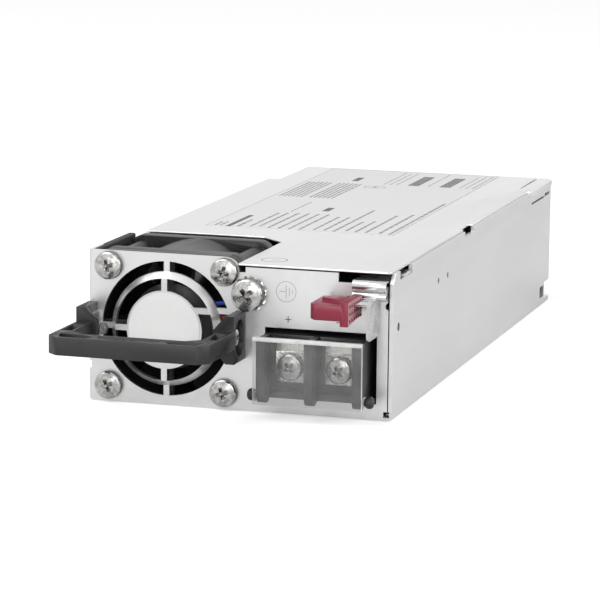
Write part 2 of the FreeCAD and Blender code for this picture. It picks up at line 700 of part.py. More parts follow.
# Hub cup with twisted blades, each blade ruled from its root to its tip
def fan_rotor():
    fan_x, fan_z = float(FAN_X), float(FAN_Z)
    hub_y, hub_end = float(HUB_Y), float(HUB_END)
    cup_outer = Part.makeCylinder(float(hub_radius), hub_end - hub_y, FreeCAD.Vector(0, hub_y, 0),
                                  FreeCAD.Vector(0, 1, 0))
    cavity = Part.makeCylinder(float(hub_radius - hub_wall), hub_end - hub_y - 3,
                               FreeCAD.Vector(0, hub_y, 0), FreeCAD.Vector(0, 1, 0))
    bore = Part.makeCylinder(float(shaft_radius), hub_end, FreeCAD.Vector(0, 0, 0), FreeCAD.Vector(0, 1, 0))
    middle = (hub_y + hub_end) / 2
    half_root = (hub_end - hub_y) / 2 - 0.8
    tip_radius = float(BORE_RADIUS - blade_clearance)
    half_thick = float(blade_thickness) / 2

    def section(radius, half_chord, pitch):
        lean = math.radians(pitch)
        along = FreeCAD.Vector(0, math.cos(lean), math.sin(lean))
        across = FreeCAD.Vector(0, -math.sin(lean), math.cos(lean))
        centre = FreeCAD.Vector(radius, middle, 0)
        corners = [centre + along * (a * half_chord) + across * (b * half_thick)
                   for a, b in ((-1, -1), (1, -1), (1, 1), (-1, 1))]
        return Part.makePolygon(corners + [corners[0]])

    blade = Part.makeLoft([section(float(hub_radius) - 0.6, half_root, 38),
                           section(tip_radius + 1, half_root, 56)], True)
    rim = Part.makeCylinder(tip_radius, 60, FreeCAD.Vector(0, -10, 0), FreeCAD.Vector(0, 1, 0))
    blade = blade.common(rim)
    shape = cup_outer
    for number in range(blade_count):
        turned = blade.copy()
        turned.rotate(FreeCAD.Vector(0, 0, 0), FreeCAD.Vector(0, 1, 0), 360 * number / blade_count)
        shape = shape.fuse(turned)
    item = doc.addObject("Part::Feature", "rotor")
    item.Shape = shape.cut(cavity).cut(bore).removeSplitter()
    place(item, FAN_X, 0, FAN_Z, ALONG["z"])
    return finish(item, "fan_rotor")


# Pan-head screw along +Y, head toward the viewer, with a cross recess
def screw_y(x, seat_y, z, head_radius, head_height, radius, run):
    head = rod("y", x, seat_y - head_height, z, head_radius, head_height)

    def face_edge(edge):
        return near(edge.CenterOfMass.y, seat_y - head_height)

    head = rounded(head, head_height * 0.55, face_edge)
    shank = rod("y", x, seat_y, z, radius, run)
    slot = head_radius * 0.55
    deep = head_height * 0.55
    half = recess_width / 2
    face_y = seat_y - head_height
    cross = fuse(box(x - slot, x + slot, face_y, face_y + deep, z - half, z + half),
                 box(x - half, x + half, face_y, face_y + deep, z - slot, z + slot))
    return cut(fuse(head, shank), cross)


def fan_screws():
    screws = [screw_y(FAN_X + side * HOLE, length(0), FAN_Z + rise * HOLE, fan_head_radius,
                      fan_head_height, fan_screw_radius, fan_screw_run)
              for side in (-1, 1) for rise in (-1, 1)]
    return finish(group(screws), "fan_screws")


def group(items):
    item = doc.addObject("Part::Compound", "group")
    item.Links = items
    return item


def ground_screw():
    return finish(screw_y(GROUND_X, -washer_sheet, GROUND_Z, ground_head_radius, ground_head_height,
                          ground_screw_radius, 7), "ground_screw")


# Washer with outside teeth
def ground_star_washer():
    body = doc.addObject("PartDesign::Body", "washer")
    plane = next(item for item in body.Origin.OriginFeatures if item.Role == "XZ_Plane")
    sketch = body.newObject("Sketcher::SketchObject", "washer_sketch")
    sketch.AttachmentSupport = [(plane, "")]
    sketch.MapMode = "FlatFace"
    for radius in (washer_radius - 0.9, ground_screw_radius + 0.15):
        circle = Part.Circle(FreeCAD.Vector(0, 0, 0), DIRECTION["z"], float(radius))
        number = sketch.addGeometry(circle)
        sketch.addConstraint(Sketcher.Constraint("Coincident", number, 3, -1, 1))
        mark = sketch.addConstraint(Sketcher.Constraint("Radius", number, float(radius)))
        sketch.setExpression(f"Constraints[{mark}]", radius.text)
    pad = body.newObject("PartDesign::Pad", "washer_pad")
    pad.Profile = sketch
    bind(pad, "Length", washer_sheet)
    body.Tip = pad
    doc.recompute()
    tooth_sketch = body.newObject("Sketcher::SketchObject", "tooth_sketch")
    tooth_sketch.AttachmentSupport = [(plane, "")]
    tooth_sketch.MapMode = "FlatFace"
    outline(tooth_sketch, [(washer_radius - 1.4, length(-0.75)), (washer_radius, length(-0.45)),
                           (washer_radius, length(0.45)), (washer_radius - 1.4, length(0.75))])
    tooth = body.newObject("PartDesign::Pad", "tooth")
    tooth.Profile = tooth_sketch
    bind(tooth, "Length", washer_sheet)
    body.Tip = tooth
    doc.recompute()
    pattern = body.newObject("PartDesign::PolarPattern", "teeth")
    pattern.Originals = [tooth]
    pattern.Axis = (tooth_sketch, ["N_Axis"])
    pattern.Angle = 360
    pattern.Occurrences = 12
    body.Tip = pattern
    place(body, GROUND_X, 0, GROUND_Z, ALONG["z"])
    return finish(body, "ground_star_washer")


def hub_label():
    return finish(rod("y", FAN_X, -dome_rise - label_sheet, FAN_Z, DISC_RADIUS - label_margin, label_sheet),
                  "hub_label")


def cover_label():
    corners = rectangle(12.8 - HALF, HALF - 16.2, FAN_REAR + 27.5, module_length - 2.5)
    return finish(padded_body(corners, LID_TOP, LID_TOP + 0.1), "cover_label")


# Rubber strip on the wall's top edge beside the fan
def fan_edge_strip():
    strip = box(-HALF, -INNER + 1.1, 1.6, FAN_REAR - 0.6, LID_BASE, PLATE_TOP)
    strip = cut(strip, box(-HALF - wall, -INNER, 0, 9, LID_BASE - wall, PLATE_TOP + wall))

    def top_edge(edge):
        return straight_edge(edge, "y") and near(edge.CenterOfMass.z, PLATE_TOP)

    return finish(rounded(strip, 0.45, top_edge), "fan_edge_strip")


# Handle: one moulding with two arms, two cheeks and hollowed corners
def handle():
    left = HANDLE_LEFT
    right = HANDLE_RIGHT
    front = -handle_reach
    low = HANDLE_Z - handle_height / 2
    back = -cheek_depth + web_wall
    shoulder = front + corner_cut * 0.9
    inner_corner = front + bar_depth + 3
    inner_cut = arm_width + 3.7
    bow = padded_body([(left, back), (left, shoulder), (left + corner_cut, front),
                       (right - corner_cut, front), (right, shoulder), (right, back),
                       (right - arm_width, back), (right - arm_width, inner_corner),
                       (right - inner_cut, front + bar_depth), (left + inner_cut, front + bar_depth),
                       (left + arm_width, inner_corner), (left + arm_width, back)],
                      low, low + handle_height)
    deep = handle_height * 0.7
    arm_back = -cheek_depth - 4.5
    bar_front = front + pocket_rib
    bar_back = front + bar_depth - pocket_rib
    arm_front = inner_corner + 0.4
    for side, way in ((left, 1), (right, -1)):
        arm_in = side + way * (arm_width - pocket_rib)
        arm_out = side + way * pocket_rib
        pocket(bow, [(arm_out, arm_front), (arm_in, arm_front), (arm_in, arm_back), (arm_out, arm_back)],
               deep)
        pocket(bow, [(side + way * (corner_cut + 0.5), bar_front),
                     (side + way * (pocket_run - 1.5), bar_front),
                     (side + way * pocket_run, bar_back - 2.4),
                     (side + way * (inner_cut + 0.4), bar_back),
                     (side + way * 2.2, shoulder + 2.6)], deep)
    middle = front + bar_depth / 2
    for start in (middle - 1.6 * groove_width, middle + 0.6 * groove_width):
        pocket(bow, rectangle(left + pocket_run + 1.4, right - pocket_run - 1.4, start, start + groove_width),
               groove_width / 2)
    half = cheek_height / 2
    step = handle_height / 2
    cheeks = []
    for outer, way in ((left, 1), (right, -1)):
        inner = outer + way * cheek_wall
        foot = outer + way * cheek_foot
        edges = sorted((outer, inner), key=float)
        cheeks.append(box(edges[0], edges[1], -cheek_depth, 0, HANDLE_Z - half, HANDLE_Z + half))
        corners = [(outer, HANDLE_Z + half), (inner, HANDLE_Z + half), (foot, HANDLE_Z + step),
                   (foot, HANDLE_Z - step), (inner, HANDLE_Z - half), (outer, HANDLE_Z - half)]
        cheeks.append(prism("y", corners, -cheek_depth, back))
    whole = fuse(bow, *cheeks)
    cuts = []
    for start in (left - wall, right - recess_depth):
        run = recess_depth + wall
        cuts += [rod("x", start, -handle_screw_y, HANDLE_Z + recess_radius / 2, recess_radius, run),
                 rod("x", start, -handle_screw_y, HANDLE_Z - recess_radius / 2, recess_radius, run),
                 box(start, start + run, -handle_screw_y - recess_radius, -handle_screw_y + recess_radius,
                     HANDLE_Z - recess_radius / 2, HANDLE_Z + recess_radius / 2)]
    cuts.append(rod("x", left - wall, -handle_screw_y, HANDLE_Z, handle_screw_radius + 0.1,
                    right - left + 2 * wall))
    return finish(cut(whole, *cuts), "handle")


def handle_screws():
    left = HANDLE_LEFT + recess_depth
    right = HANDLE_RIGHT - recess_depth
    run = handle_screw_reach - recess_depth
    head = handle_head_height
    left_screw = fuse(rod("x", left - head, -handle_screw_y, HANDLE_Z, handle_head_radius, head),
                      rod("x", left, -handle_screw_y, HANDLE_Z, handle_screw_radius, run))
    right_screw = fuse(rod("x", right, -handle_screw_y, HANDLE_Z, handle_head_radius, head),
                       rod("x", right - run, -handle_screw_y, HANDLE_Z, handle_screw_radius, run))
    return finish(group([left_screw, right_screw]), "handle_screws")


def round_edge(edge):
    return len(edge.Vertexes) == 1


# Terminal block: three barriers with widened front edges, and a stud and knob at each end for the flap
def terminal_block():
    rear = box(TERMINAL_LEFT, TERMINAL_RIGHT, FACE_Y, terminal_inside, terminal_bottom, TERMINAL_TOP)
    rest = box(TERMINAL_LEFT, TERMINAL_RIGHT, wall + 0.2, terminal_inside, BOARD_TOP, TERMINAL_TOP)
    step = box(TERMINAL_LEFT - wall, TERMINAL_RIGHT - skirt, wall + 0.2, terminal_inside + wall,
               terminal_bottom - wall, BOARD_TOP)
    skirt_end = box(TERMINAL_RIGHT - skirt - wall, TERMINAL_RIGHT + wall, terminal_inside - 0.1,
                    terminal_inside + wall, terminal_bottom - wall, BOARD_TOP)
    starts = (TERMINAL_LEFT, TERMINAL_LEFT + barrier + CELL, TERMINAL_RIGHT - barrier)
    lips = ((length(0), barrier_lip), (barrier_lip / 2, barrier_lip / 2), (barrier_lip, length(0)))
    pieces = [cut(rear, step, skirt_end), rest]
    lip_rear = lip_depth - terminal_reach
    for x, (before, after) in zip(starts, lips):
        pieces.append(box(x, x + barrier, -terminal_reach, FACE_Y, hinge_z, TERMINAL_TOP))
        pieces.append(box(x, x + barrier, -hinge_y, FACE_Y, terminal_bottom, hinge_z))
        pieces.append(box(x - before, x + barrier + after, -terminal_reach, lip_rear, hinge_z, TERMINAL_TOP))
        pieces.append(rod("x", x - before, -hinge_y, hinge_z, knuckle_radius, barrier + barrier_lip))
    pieces.append(box(TERMINAL_LEFT, TERMINAL_RIGHT, length(-4.6), FACE_Y, length(5), length(6.8)))
    side = flap_side + 2 * running_fit
    for stud, knob in ((TERMINAL_LEFT - side, TERMINAL_LEFT - side - knob_run),
                       (TERMINAL_RIGHT, TERMINAL_RIGHT + side)):
        pieces.append(rod("x", stud, -hinge_y, hinge_z, stud_radius, side))
        pieces.append(rounded(rod("x", knob, -hinge_y, hinge_z, knob_radius, knob_run), knob_radius * 0.6,
                              round_edge))
    holes = [rod("y", x, FACE_Y - contact_sheet, TERMINAL_Z, TERMINAL_SCREW + 0.15, 8) for x in CELL_X]
    return finish(cut(fuse(*pieces), *holes, *[contact_strip(x) for x in CELL_X]), "terminal_block")


# Bent strip: upright plate under the screw, a run through the block and a pin into the board
def contact_strip(x):
    half = CLAMP_HALF * 0.6
    top = TERMINAL_Z + CLAMP_HALF + 2.3
    low = top - contact_sheet
    plate = box(x - CLAMP_HALF, x + CLAMP_HALF, FACE_Y - contact_sheet, FACE_Y, TERMINAL_Z - CLAMP_HALF, top)
    run = box(x - half, x + half, FACE_Y, terminal_inside - 1.4, low, top)
    pin = box(x - half, x + half, terminal_inside - 2.2, terminal_inside - 1.4, BOARD_Z, top)
    return fuse(plate, run, pin)


def terminal_contacts():
    strips = []
    for x in CELL_X:
        hole = rod("y", x, FACE_Y - contact_sheet - wall, TERMINAL_Z, TERMINAL_SCREW, 3)
        strips.append(cut(contact_strip(x), hole))
    return finish(group(strips), "terminal_contacts")


def terminal_clamp_plates():
    plates = []
    for x in CELL_X:
        plate = box(x - CLAMP_HALF, x + CLAMP_HALF, CLAMP_Y, CLAMP_Y + clamp_sheet, TERMINAL_Z - CLAMP_HALF,
                    TERMINAL_Z + CLAMP_HALF)
        plates.append(cut(plate, rod("y", x, CLAMP_Y, TERMINAL_Z, TERMINAL_SCREW, 2)))
    return finish(group(plates), "terminal_clamp_plates")


def terminal_screws():
    screws = [screw_y(x, CLAMP_Y, TERMINAL_Z, TERMINAL_HEAD, length(2), TERMINAL_SCREW, 7) for x in CELL_X]
    return finish(group(screws), "terminal_screws")


# Clear flap with a thick top lip; its two arms turn on the block's studs
def terminal_cover():
    back = -terminal_reach - flap_gap
    front = back - clear_sheet
    left = TERMINAL_LEFT - flap_side
    right = TERMINAL_RIGHT + flap_side
    top = TERMINAL_TOP + 0.6
    pieces = [box(left, right, front, back, hinge_z - 1.8, top),
              box(left, right, front - 0.2, back + flap_gap - 0.1, top - 1, top)]
    arm = flap_side - 2 * running_fit
    for start in (left, right - arm):
        pieces.append(rod("x", start, -hinge_y, hinge_z, arm_radius, arm))
        pieces.append(box(start, start + arm, back - 0.1, -hinge_y, hinge_z - 1.2, hinge_z + 1.2))
    bore = rod("x", left - wall, -hinge_y, hinge_z, stud_radius + running_fit, right - left + 2 * wall)
    return finish(cut(fuse(*pieces), bore), "terminal_cover")


# Latch: one bent spring strip, rolled at its rear end, where it turns
def release_latch():
    leaf_low = RIVET_Z - leaf_height / 2
    leaf = box(LEAF_X, LEAF_X + spring_sheet, 14, leaf_end, leaf_low, leaf_low + leaf_height)
    rolled_end = rod("z", LEAF_X + spring_sheet / 2, leaf_end, leaf_low, roll_radius, leaf_height)
    riser = box(LEAF_X, LEAF_X + spring_sheet, 3, 20, leaf_low, LATCH_TOP)
    shelf = box(LATCH_LEFT, LEAF_X + spring_sheet, WAVE_Y, 19, LATCH_TOP - spring_sheet, LATCH_TOP)
    catch = box(LEAF_X, HALF + 0.5, 8.4, 16.8, LATCH_TOP - spring_sheet, LATCH_TOP)
    foot_low = LATCH_FOOT - spring_sheet
    finger = box(TAB_LEFT + 1.6, LEG_X, -leg_front, -1.2, foot_low, LATCH_FOOT)
    leg_outer = LEG_X + spring_sheet
    leg = box(LEG_X, leg_outer, -leg_front, -1.2, LATCH_FOOT - leg_drop, LATCH_FOOT)

    def leg_corner(edge):
        return straight_edge(edge, "x") and near(edge.CenterOfMass.z, LATCH_FOOT - leg_drop)

    leg = rounded(leg, leg_corner_radius, leg_corner)
    bent = fuse(finger, leg)

    def leg_bend(edge):
        centre = edge.CenterOfMass
        return straight_edge(edge, "y") and near(centre.z, LATCH_FOOT) and near(centre.x, leg_outer)

    bent = rounded(bent, spring_sheet * 0.9, leg_bend)
    holes = [rod("x", LEAF_X - wall, y, RIVET_Z, 1.0, 3 * wall) for y in RIVET_Y]
    strip = fuse(cut(fuse(leaf, rolled_end, riser), *holes), shelf, catch, wave(), bent)
    return finish(strip, "latch_spring")


WAVE_Y = length(-1.6)


# The wave is drawn with two rolls between the shelf and the finger
def wave():
    thick = float(spring_sheet)
    left = float(LATCH_LEFT)
    run = float(LEAF_X + spring_sheet) - left
    front = float(WAVE_Y)

    def roll(radius, middle):
        start = FreeCAD.Vector(left, front, middle)
        tube = Part.makeCylinder(radius, run, start, DIRECTION["x"]).cut(
            Part.makeCylinder(radius - thick, run, start, DIRECTION["x"]))
        return tube.cut(Part.makeBox(run, 10, 10, FreeCAD.Vector(left, front, middle - 5)))

    top = float(LATCH_TOP)
    upper = float(upper_roll)
    lower = float(lower_roll)
    seam = top - 2 * upper
    foot = float(LATCH_FOOT) - thick
    link = Part.makeBox(run, 0.45, 2 * thick, FreeCAD.Vector(left, front, seam - thick))
    tail = Part.makeBox(run, 0.45, thick, FreeCAD.Vector(left, front, foot))
    item = doc.addObject("Part::Feature", "wave")
    rolls = roll(upper, top - upper).fuse(roll(lower, seam - lower))
    item.Shape = rolls.fuse(link).fuse(tail).removeSplitter()
    return item


# Tab moulded on the finger, with a thicker gripped rim on its right
def release_tab():
    low = LATCH_FOOT - tab_under
    high = LATCH_FOOT + tab_over
    front = -tab_front
    rim_left = TAB_RIGHT - rim_width
    body = prism("z", [(TAB_LEFT + 1.4, front), (rim_left, front), (rim_left, -tab_rear),
                       (TAB_LEFT, -tab_rear), (TAB_LEFT, front + 2)], low, high)
    rim = prism("x", [(front, low - rim_under), (-tab_rear, low), (-tab_rear, high + rim_over),
                      (front, high + rim_over)], rim_left, TAB_RIGHT)
    arrow_base = rim_left - 0.4
    arrow = prism("z", [(TAB_LEFT + 1.8, front + 6), (arrow_base, front + 3.2), (arrow_base, front + 10.6)],
                  high, high + 0.9)
    slot = box(TAB_LEFT + 1.6, TAB_RIGHT + wall, -leg_front, wall, LATCH_FOOT - spring_sheet, LATCH_FOOT)
    return finish(cut(fuse(body, rim, arrow), slot), "release_tab")


def latch_rivets():
    rivets = []
    for y in RIVET_Y:
        shank = rod("x", LEAF_X - rivet_slack, y, RIVET_Z, 0.8, HALF - LEAF_X + rivet_slack)
        head = rod("x", LEAF_X - rivet_slack - 0.8, y, RIVET_Z, 1.6, 0.8)
        rivets.append(fuse(shank, head))
    return finish(group(rivets), "latch_rivets")


# Boards, standoffs and screws share the same places
BOARD_LEFT = -INNER + board_edge
BOARD_RIGHT = INNER - board_edge
BOARD_FRONT = length(2.5)
BOARD_REAR = module_length - 5.5
REAR_POST = BOARD_REAR - 8
LEFT_POST = BOARD_LEFT + post_edge
RIGHT_POST = BOARD_RIGHT - post_edge
POSTS = ((FAN_RIGHT + 11.85, length(25)), (RIGHT_POST, FAN_REAR + 9), (LEFT_POST, FAN_REAR + 13),
         (RIGHT_POST, REAR_POST), (LEFT_POST, REAR_POST), (length(0), core_y + 27))


def board_outline(margin):
    left = FAN_RIGHT + 2.2 - margin
    shoulder = FAN_REAR + 5 - margin
    right = TERMINAL_RIGHT - skirt - 0.4 + margin
    return [(left, BOARD_FRONT - margin), (right, BOARD_FRONT - margin),
            (right, board_step - margin), (BOARD_RIGHT + margin, board_step - margin),
            (BOARD_RIGHT + margin, BOARD_REAR + margin), (BOARD_LEFT - margin, BOARD_REAR + margin),
            (BOARD_LEFT - margin, shoulder), (left, shoulder)]


def main_circuit_board():
    board = padded_body(board_outline(length(0)), BOARD_Z, BOARD_TOP)
    holes = [rod("z", x, y, BOARD_Z - wall, 1.6, board_sheet + 2 * wall) for x, y in POSTS]
    half = CLAMP_HALF * 0.6
    slots = [box(x - half, x + half, terminal_inside - 2.2, terminal_inside - 1.4, BOARD_Z - wall,
                 BOARD_TOP + wall) for x in CELL_X]
    return finish(cut(board, *holes, *slots), "main_circuit_board")


def insulating_sheet():
    skin = padded_body(board_outline(length(0.8)), wall, wall + insulator)
    holes = [rod("z", x, y, 0, 3.2, 3 * wall) for x, y in POSTS]
    return finish(cut(skin, *holes), "insulating_sheet")


def board_standoffs():
    posts = [cut(rod("z", x, y, wall, 2.6, board_lift), rod("z", x, y, wall, 1.4, board_lift + wall))
             for x, y in POSTS]
    return finish(group(posts), "board_standoffs")


def board_screws():
    screws = [fuse(rod("z", x, y, BOARD_TOP, 2.6, 1.7),
                   rod("z", x, y, wall + 0.4, 1.4, board_lift + board_sheet - 0.4))
              for x, y in POSTS]
    return finish(group(screws), "board_screws")


def output_connector():
    half = connector_width / 2
    front = module_length - connector_inside
    rear = module_length + connector_outside
    top = BOARD_TOP + connector_height
    shell = box(-half, half, front, rear, BOARD_TOP, top)
    mouth = box(connector_wall - half, half - connector_wall, module_length - 4, rear + wall,
                BOARD_TOP + connector_wall, top - connector_wall)
    return finish(cut(shell, mouth), "output_connector")


def output_contacts():
    pitch = (connector_width - 12) / 8
    blades = []
    for number in range(9):
        x = 6 - connector_width / 2 + pitch * number
        blades.append(box(x - blade_sheet / 2, x + blade_sheet / 2, module_length - 4,
                          module_length + connector_outside - 1, BOARD_TOP + connector_wall, BOARD_TOP + 5.6))
    return finish(group(blades), "output_contacts")


# Core with two windows, round whose middle leg the winding sits on its own feet
def transformer():
    half_x = core_width / 2
    half_y = core_depth / 2
    low = BOARD_TOP + 1
    window_in = core_leg / 2
    window_out = half_x - core_wall
    window_low = low + core_wall
    window_top = low + TALL - 1 - core_wall
    core = box(-half_x, half_x, core_y - half_y, core_y + half_y, low, low + TALL - 1)
    windows = [box(sides[0], sides[1], core_y - half_y - wall, core_y + half_y + wall, window_low, window_top)
               for sides in ((-window_out, -window_in), (window_in, window_out))]
    finish(cut(core, *windows), "transformer_core")
    coil_x = window_out - 0.5
    coil_y = half_y + coil_overhang
    coil = box(-coil_x, coil_x, core_y - coil_y, core_y + coil_y, window_low + 0.5, window_top - 0.5)

    def upright(edge):
        return straight_edge(edge, "z")

    coil = rounded(coil, coil_overhang, upright)
    leg = box(-window_in, window_in, core_y - half_y, core_y + half_y, low, window_top + wall)
    feet = [box(-coil_x, coil_x, start, start + coil_overhang - 0.2, BOARD_TOP, window_low + 1)
            for start in (core_y - coil_y, core_y + half_y + 0.2)]
    return finish(fuse(cut(coil, leg), *feet), "transformer_winding")


def bulk_capacitors():
    cans = []
    x = can_radius + 5.6 - INNER
    for y in (can_y, can_y + can_pitch):
        can = rod("z", x, y, BOARD_TOP, can_radius, TALL)

        def top_edge(edge):
            return near(edge.CenterOfMass.z, BOARD_TOP + TALL)

        cans.append(rounded(can, 1.2, top_edge))
    return finish(group(cans), "bulk_capacitors")


def filter_choke():
    x = INNER - 20.6
    middle = BOARD_TOP + choke_section + 2.2
    core = doc.addObject("Part::Torus", "toroid")
    bind(core, "Radius1", choke_radius)
    bind(core, "Radius2", choke_section)
    place(core, x, choke_y, middle, ALONG["z"])
    finish(core, "filter_choke_core")
    turns = []
    for number in range(18):
        angle = math.radians(20 * number)
        turn = doc.addObject("Part::Torus", "turn")
        bind(turn, "Radius1", choke_section + choke_wire + 0.3)
        bind(turn, "Radius2", choke_wire)
        spin = FreeCAD.Rotation(DIRECTION["z"], 20 * number)
        tilt = FreeCAD.Rotation(DIRECTION["x"], 90)
        place(turn, x + choke_radius * math.cos(angle), choke_y + choke_radius * math.sin(angle), middle,
              spin * tilt)
        turns.append(turn)
    return finish(group(turns), "filter_choke_winding")


SINK_REAR = BOARD_REAR - sink_rear_gap
SINK_FACE = BOARD_RIGHT + sink_edge - 2 - sink_plate - sink_fin


def heat_sink(way, label):
    def slab(start, stop, z0, z1):
        sides = sorted((way * start, way * stop), key=float)
        return box(sides[0], sides[1], sink_y, SINK_REAR, z0, z1)

    root = SINK_FACE + sink_plate
    pieces = [slab(SINK_FACE, root, BOARD_TOP, BOARD_TOP + TALL)]
    pitch = (TALL - 5) / 5
    for number in range(6):
        z = BOARD_TOP + 3 + pitch * number
        pieces.append(slab(root, root + sink_fin, z, z + 1.2))
    return finish(fuse(*pieces), label)


def power_transistors():
    devices = []
    back = SINK_FACE
    front = SINK_FACE - device_depth
    pitch = (SINK_REAR - sink_y - 2 * device_width) / 2
    low = BOARD_TOP + 8
    for way in (-1, 1):
        slab = sorted((way * front, way * back), key=float)
        leads = sorted((way * (front + 1.6), way * (front + 2.4)), key=float)
        for number in range(3):
            y = sink_y + device_width + pitch * number
            body = box(slab[0], slab[1], y - device_width / 2, y + device_width / 2, low, low + device_height)
            pins = [box(leads[0], leads[1], y + step - 0.5, y + step + 0.5, BOARD_TOP, low)
                    for step in (-2.54, 0, 2.54)]
            devices.append(fuse(body, *pins))
    return finish(group(devices), "power_transistors")


def film_capacitors():
    x = FAN_RIGHT + 4
    boxes = [box(x, x + film_width, y, y + film_depth, BOARD_TOP, BOARD_TOP + film_height)
             for y in (length(29), film_depth + 30)]
    return finish(group(boxes), "film_capacitors")


def control_board():
    rear = module_length - connector_inside - 8
    front = rear - control_sheet
    half = control_width / 2
    board = box(-half, half, front, rear, BOARD_TOP, BOARD_TOP + TALL - 4)
    chips = [box(x, x + chip_width, front - 1.6, front, BOARD_TOP + 8, BOARD_TOP + 16)
             for x in (-half + 4, length(2))]
    return finish(fuse(board, *chips), "control_board")


# Fan leads and their plug
HEADER_X = FAN_RIGHT - 6.15
HEADER_Y = FAN_REAR + 20


def fan_header():
    header = box(HEADER_X - 4, HEADER_X + 4, HEADER_Y, HEADER_Y + 5, BOARD_TOP, BOARD_TOP + 5)
    return finish(header, "fan_header")


def fan_plug():
    plug = box(HEADER_X - 3.4, HEADER_X + 3.4, HEADER_Y + 0.6, HEADER_Y + 4.4, BOARD_TOP + 5, BOARD_TOP + 9)
    return finish(plug, "fan_plug")


# A lead: straight runs joined by tangent arcs
def lead(label, points, radius):
    edges = []
    cursor = points[0]
    for index in range(1, len(points) - 1):
        before, corner, after = points[index - 1], points[index], points[index + 1]
        to_back = before.sub(corner)
        to_front = after.sub(corner)
        half_turn = (math.pi - to_back.getAngle(to_front)) / 2
        bend_radius = 0.45 * min(to_back.Length, to_front.Length) / math.tan(half_turn)
        reach = bend_radius * math.tan(half_turn)
        to_back.normalize()
        to_front.normalize()
        start = corner.add(to_back * reach)
        end = corner.add(to_front * reach)
        inward = to_back.add(to_front).normalize()
        centre_way = bend_radius / math.cos(half_turn)
        crown = corner.add(inward * (centre_way - bend_radius))
        edges.append(Part.LineSegment(cursor, start).toShape())
        edges.append(Part.Arc(start, crown, end).toShape())
        cursor = end
        print(label, "bend", index, "radius", round(bend_radius, 2))
    edges.append(Part.LineSegment(cursor, points[-1]).toShape())
    path = Part.Wire(edges)
    way = points[1].sub(points[0])
    ring = Part.Wire([Part.makeCircle(radius, points[0], way)])
    item = doc.addObject("Part::Feature", label)
    item.Shape = path.makePipeShell([ring], True, False)
    expected = math.pi * radius ** 2 * path.Length
    print(label, "volume", round(item.Shape.Volume, 2), "expected", round(expected, 2))
    return finish(item, label)


def fan_leads():
    side = float(FAN_RIGHT) + 1.5
    fan_x, lead_y, lead_z = float(FAN_X), float(LEAD_Y), float(LEAD_Z)
    rear = float(FAN_REAR)
    plug_top = float(BOARD_TOP) + 9
    header_x, header_y = float(HEADER_X), float(HEADER_Y) + 2.5
    spread = float(lead_spread)
    for label, shift in (("fan_lead_red", -spread), ("fan_lead_blue", spread)):
        end_x = header_x + 0.7 * shift
        level = lead_z + shift
        nearest = float(side_spoke_lift) + shift - 1.2 - 0.6
        base_edge = math.sqrt(float(motor_base_radius) ** 2 - nearest ** 2) + 0.15
        points = [FreeCAD.Vector(fan_x + base_edge, lead_y, level - 1.2),
                  FreeCAD.Vector(fan_x + 16.4, lead_y, level - 0.3),
                  FreeCAD.Vector(side, lead_y + 3.2, level),
                  FreeCAD.Vector(side, lead_y + 13, level - 0.6),
                  FreeCAD.Vector(side, rear + 1, level - 2),
                  FreeCAD.Vector(end_x + 3.6, rear + 8, level - 3),
                  FreeCAD.Vector(end_x + 0.8, header_y - 8, plug_top + 12 + 0.4 * shift),
                  FreeCAD.Vector(end_x, header_y, plug_top + 9),
                  FreeCAD.Vector(end_x, header_y, plug_top)]
        lead(label, points, 0.6)


def cover_screws():
    screws = []
    for x in (11.6 - HALF, HALF - 11.6):
        screws.append(rod("y", x, module_length, LID_BASE - 3.4, 2.6, 1.6))
    return finish(group(screws), "cover_screws")


base_chassis()
top_cover()
fan_gasket()
fan_frame()
fan_bearings()
fan_shaft()
fan_stator()
fan_rotor()
fan_screws()
fan_edge_strip()
ground_screw()
ground_star_washer()
hub_label()
cover_label()
handle()
handle_screws()
terminal_block()
terminal_contacts()
terminal_clamp_plates()
terminal_screws()
terminal_cover()
release_latch()
release_tab()
latch_rivets()
main_circuit_board()
insulating_sheet()
board_standoffs()
board_screws()
output_connector()
output_contacts()
transformer()
bulk_capacitors()
filter_choke()
heat_sink(-1, "primary_heat_sink")
heat_sink(1, "secondary_heat_sink")
power_transistors()
film_capacitors()
control_board()
fan_header()
fan_plug()
fan_leads()
cover_screws()

doc.recompute()

problems = []
for item in doc.Objects:
    if "Invalid" in item.State or "Error" in item.State:
        problems.append(f"{item.Label}: {item.State}")
for item in nodes:
    if item.Shape.isNull() or not item.Shape.isValid():
        problems.append(f"{item.Label}: bad shape")
if problems:
    raise SystemExit("\n".join(problems))

os.makedirs("parts", exist_ok=True)
for item in nodes:
    item.Shape.exportStep(f"parts/{item.Label}.step")
    print(item.Label, "solids", len(item.Shape.Solids), "volume", round(item.Shape.Volume, 1))
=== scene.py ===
# %% [markdown]
# # A power supply module for a rack switch
# The real object is a folded steel case with a fan behind a pressed guard, a moulded pull handle, a
# covered pair of screw terminals and a sprung latch with a red tab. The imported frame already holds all
# of these at their real size. This lesson gives them their looks: it eases the edges that catch the
# light, models the small hardware in full, prints the marks and mixes every finish from nodes.

# %% Load the frame
import json
import math
import random

import bpy
from mathutils import Matrix, Vector


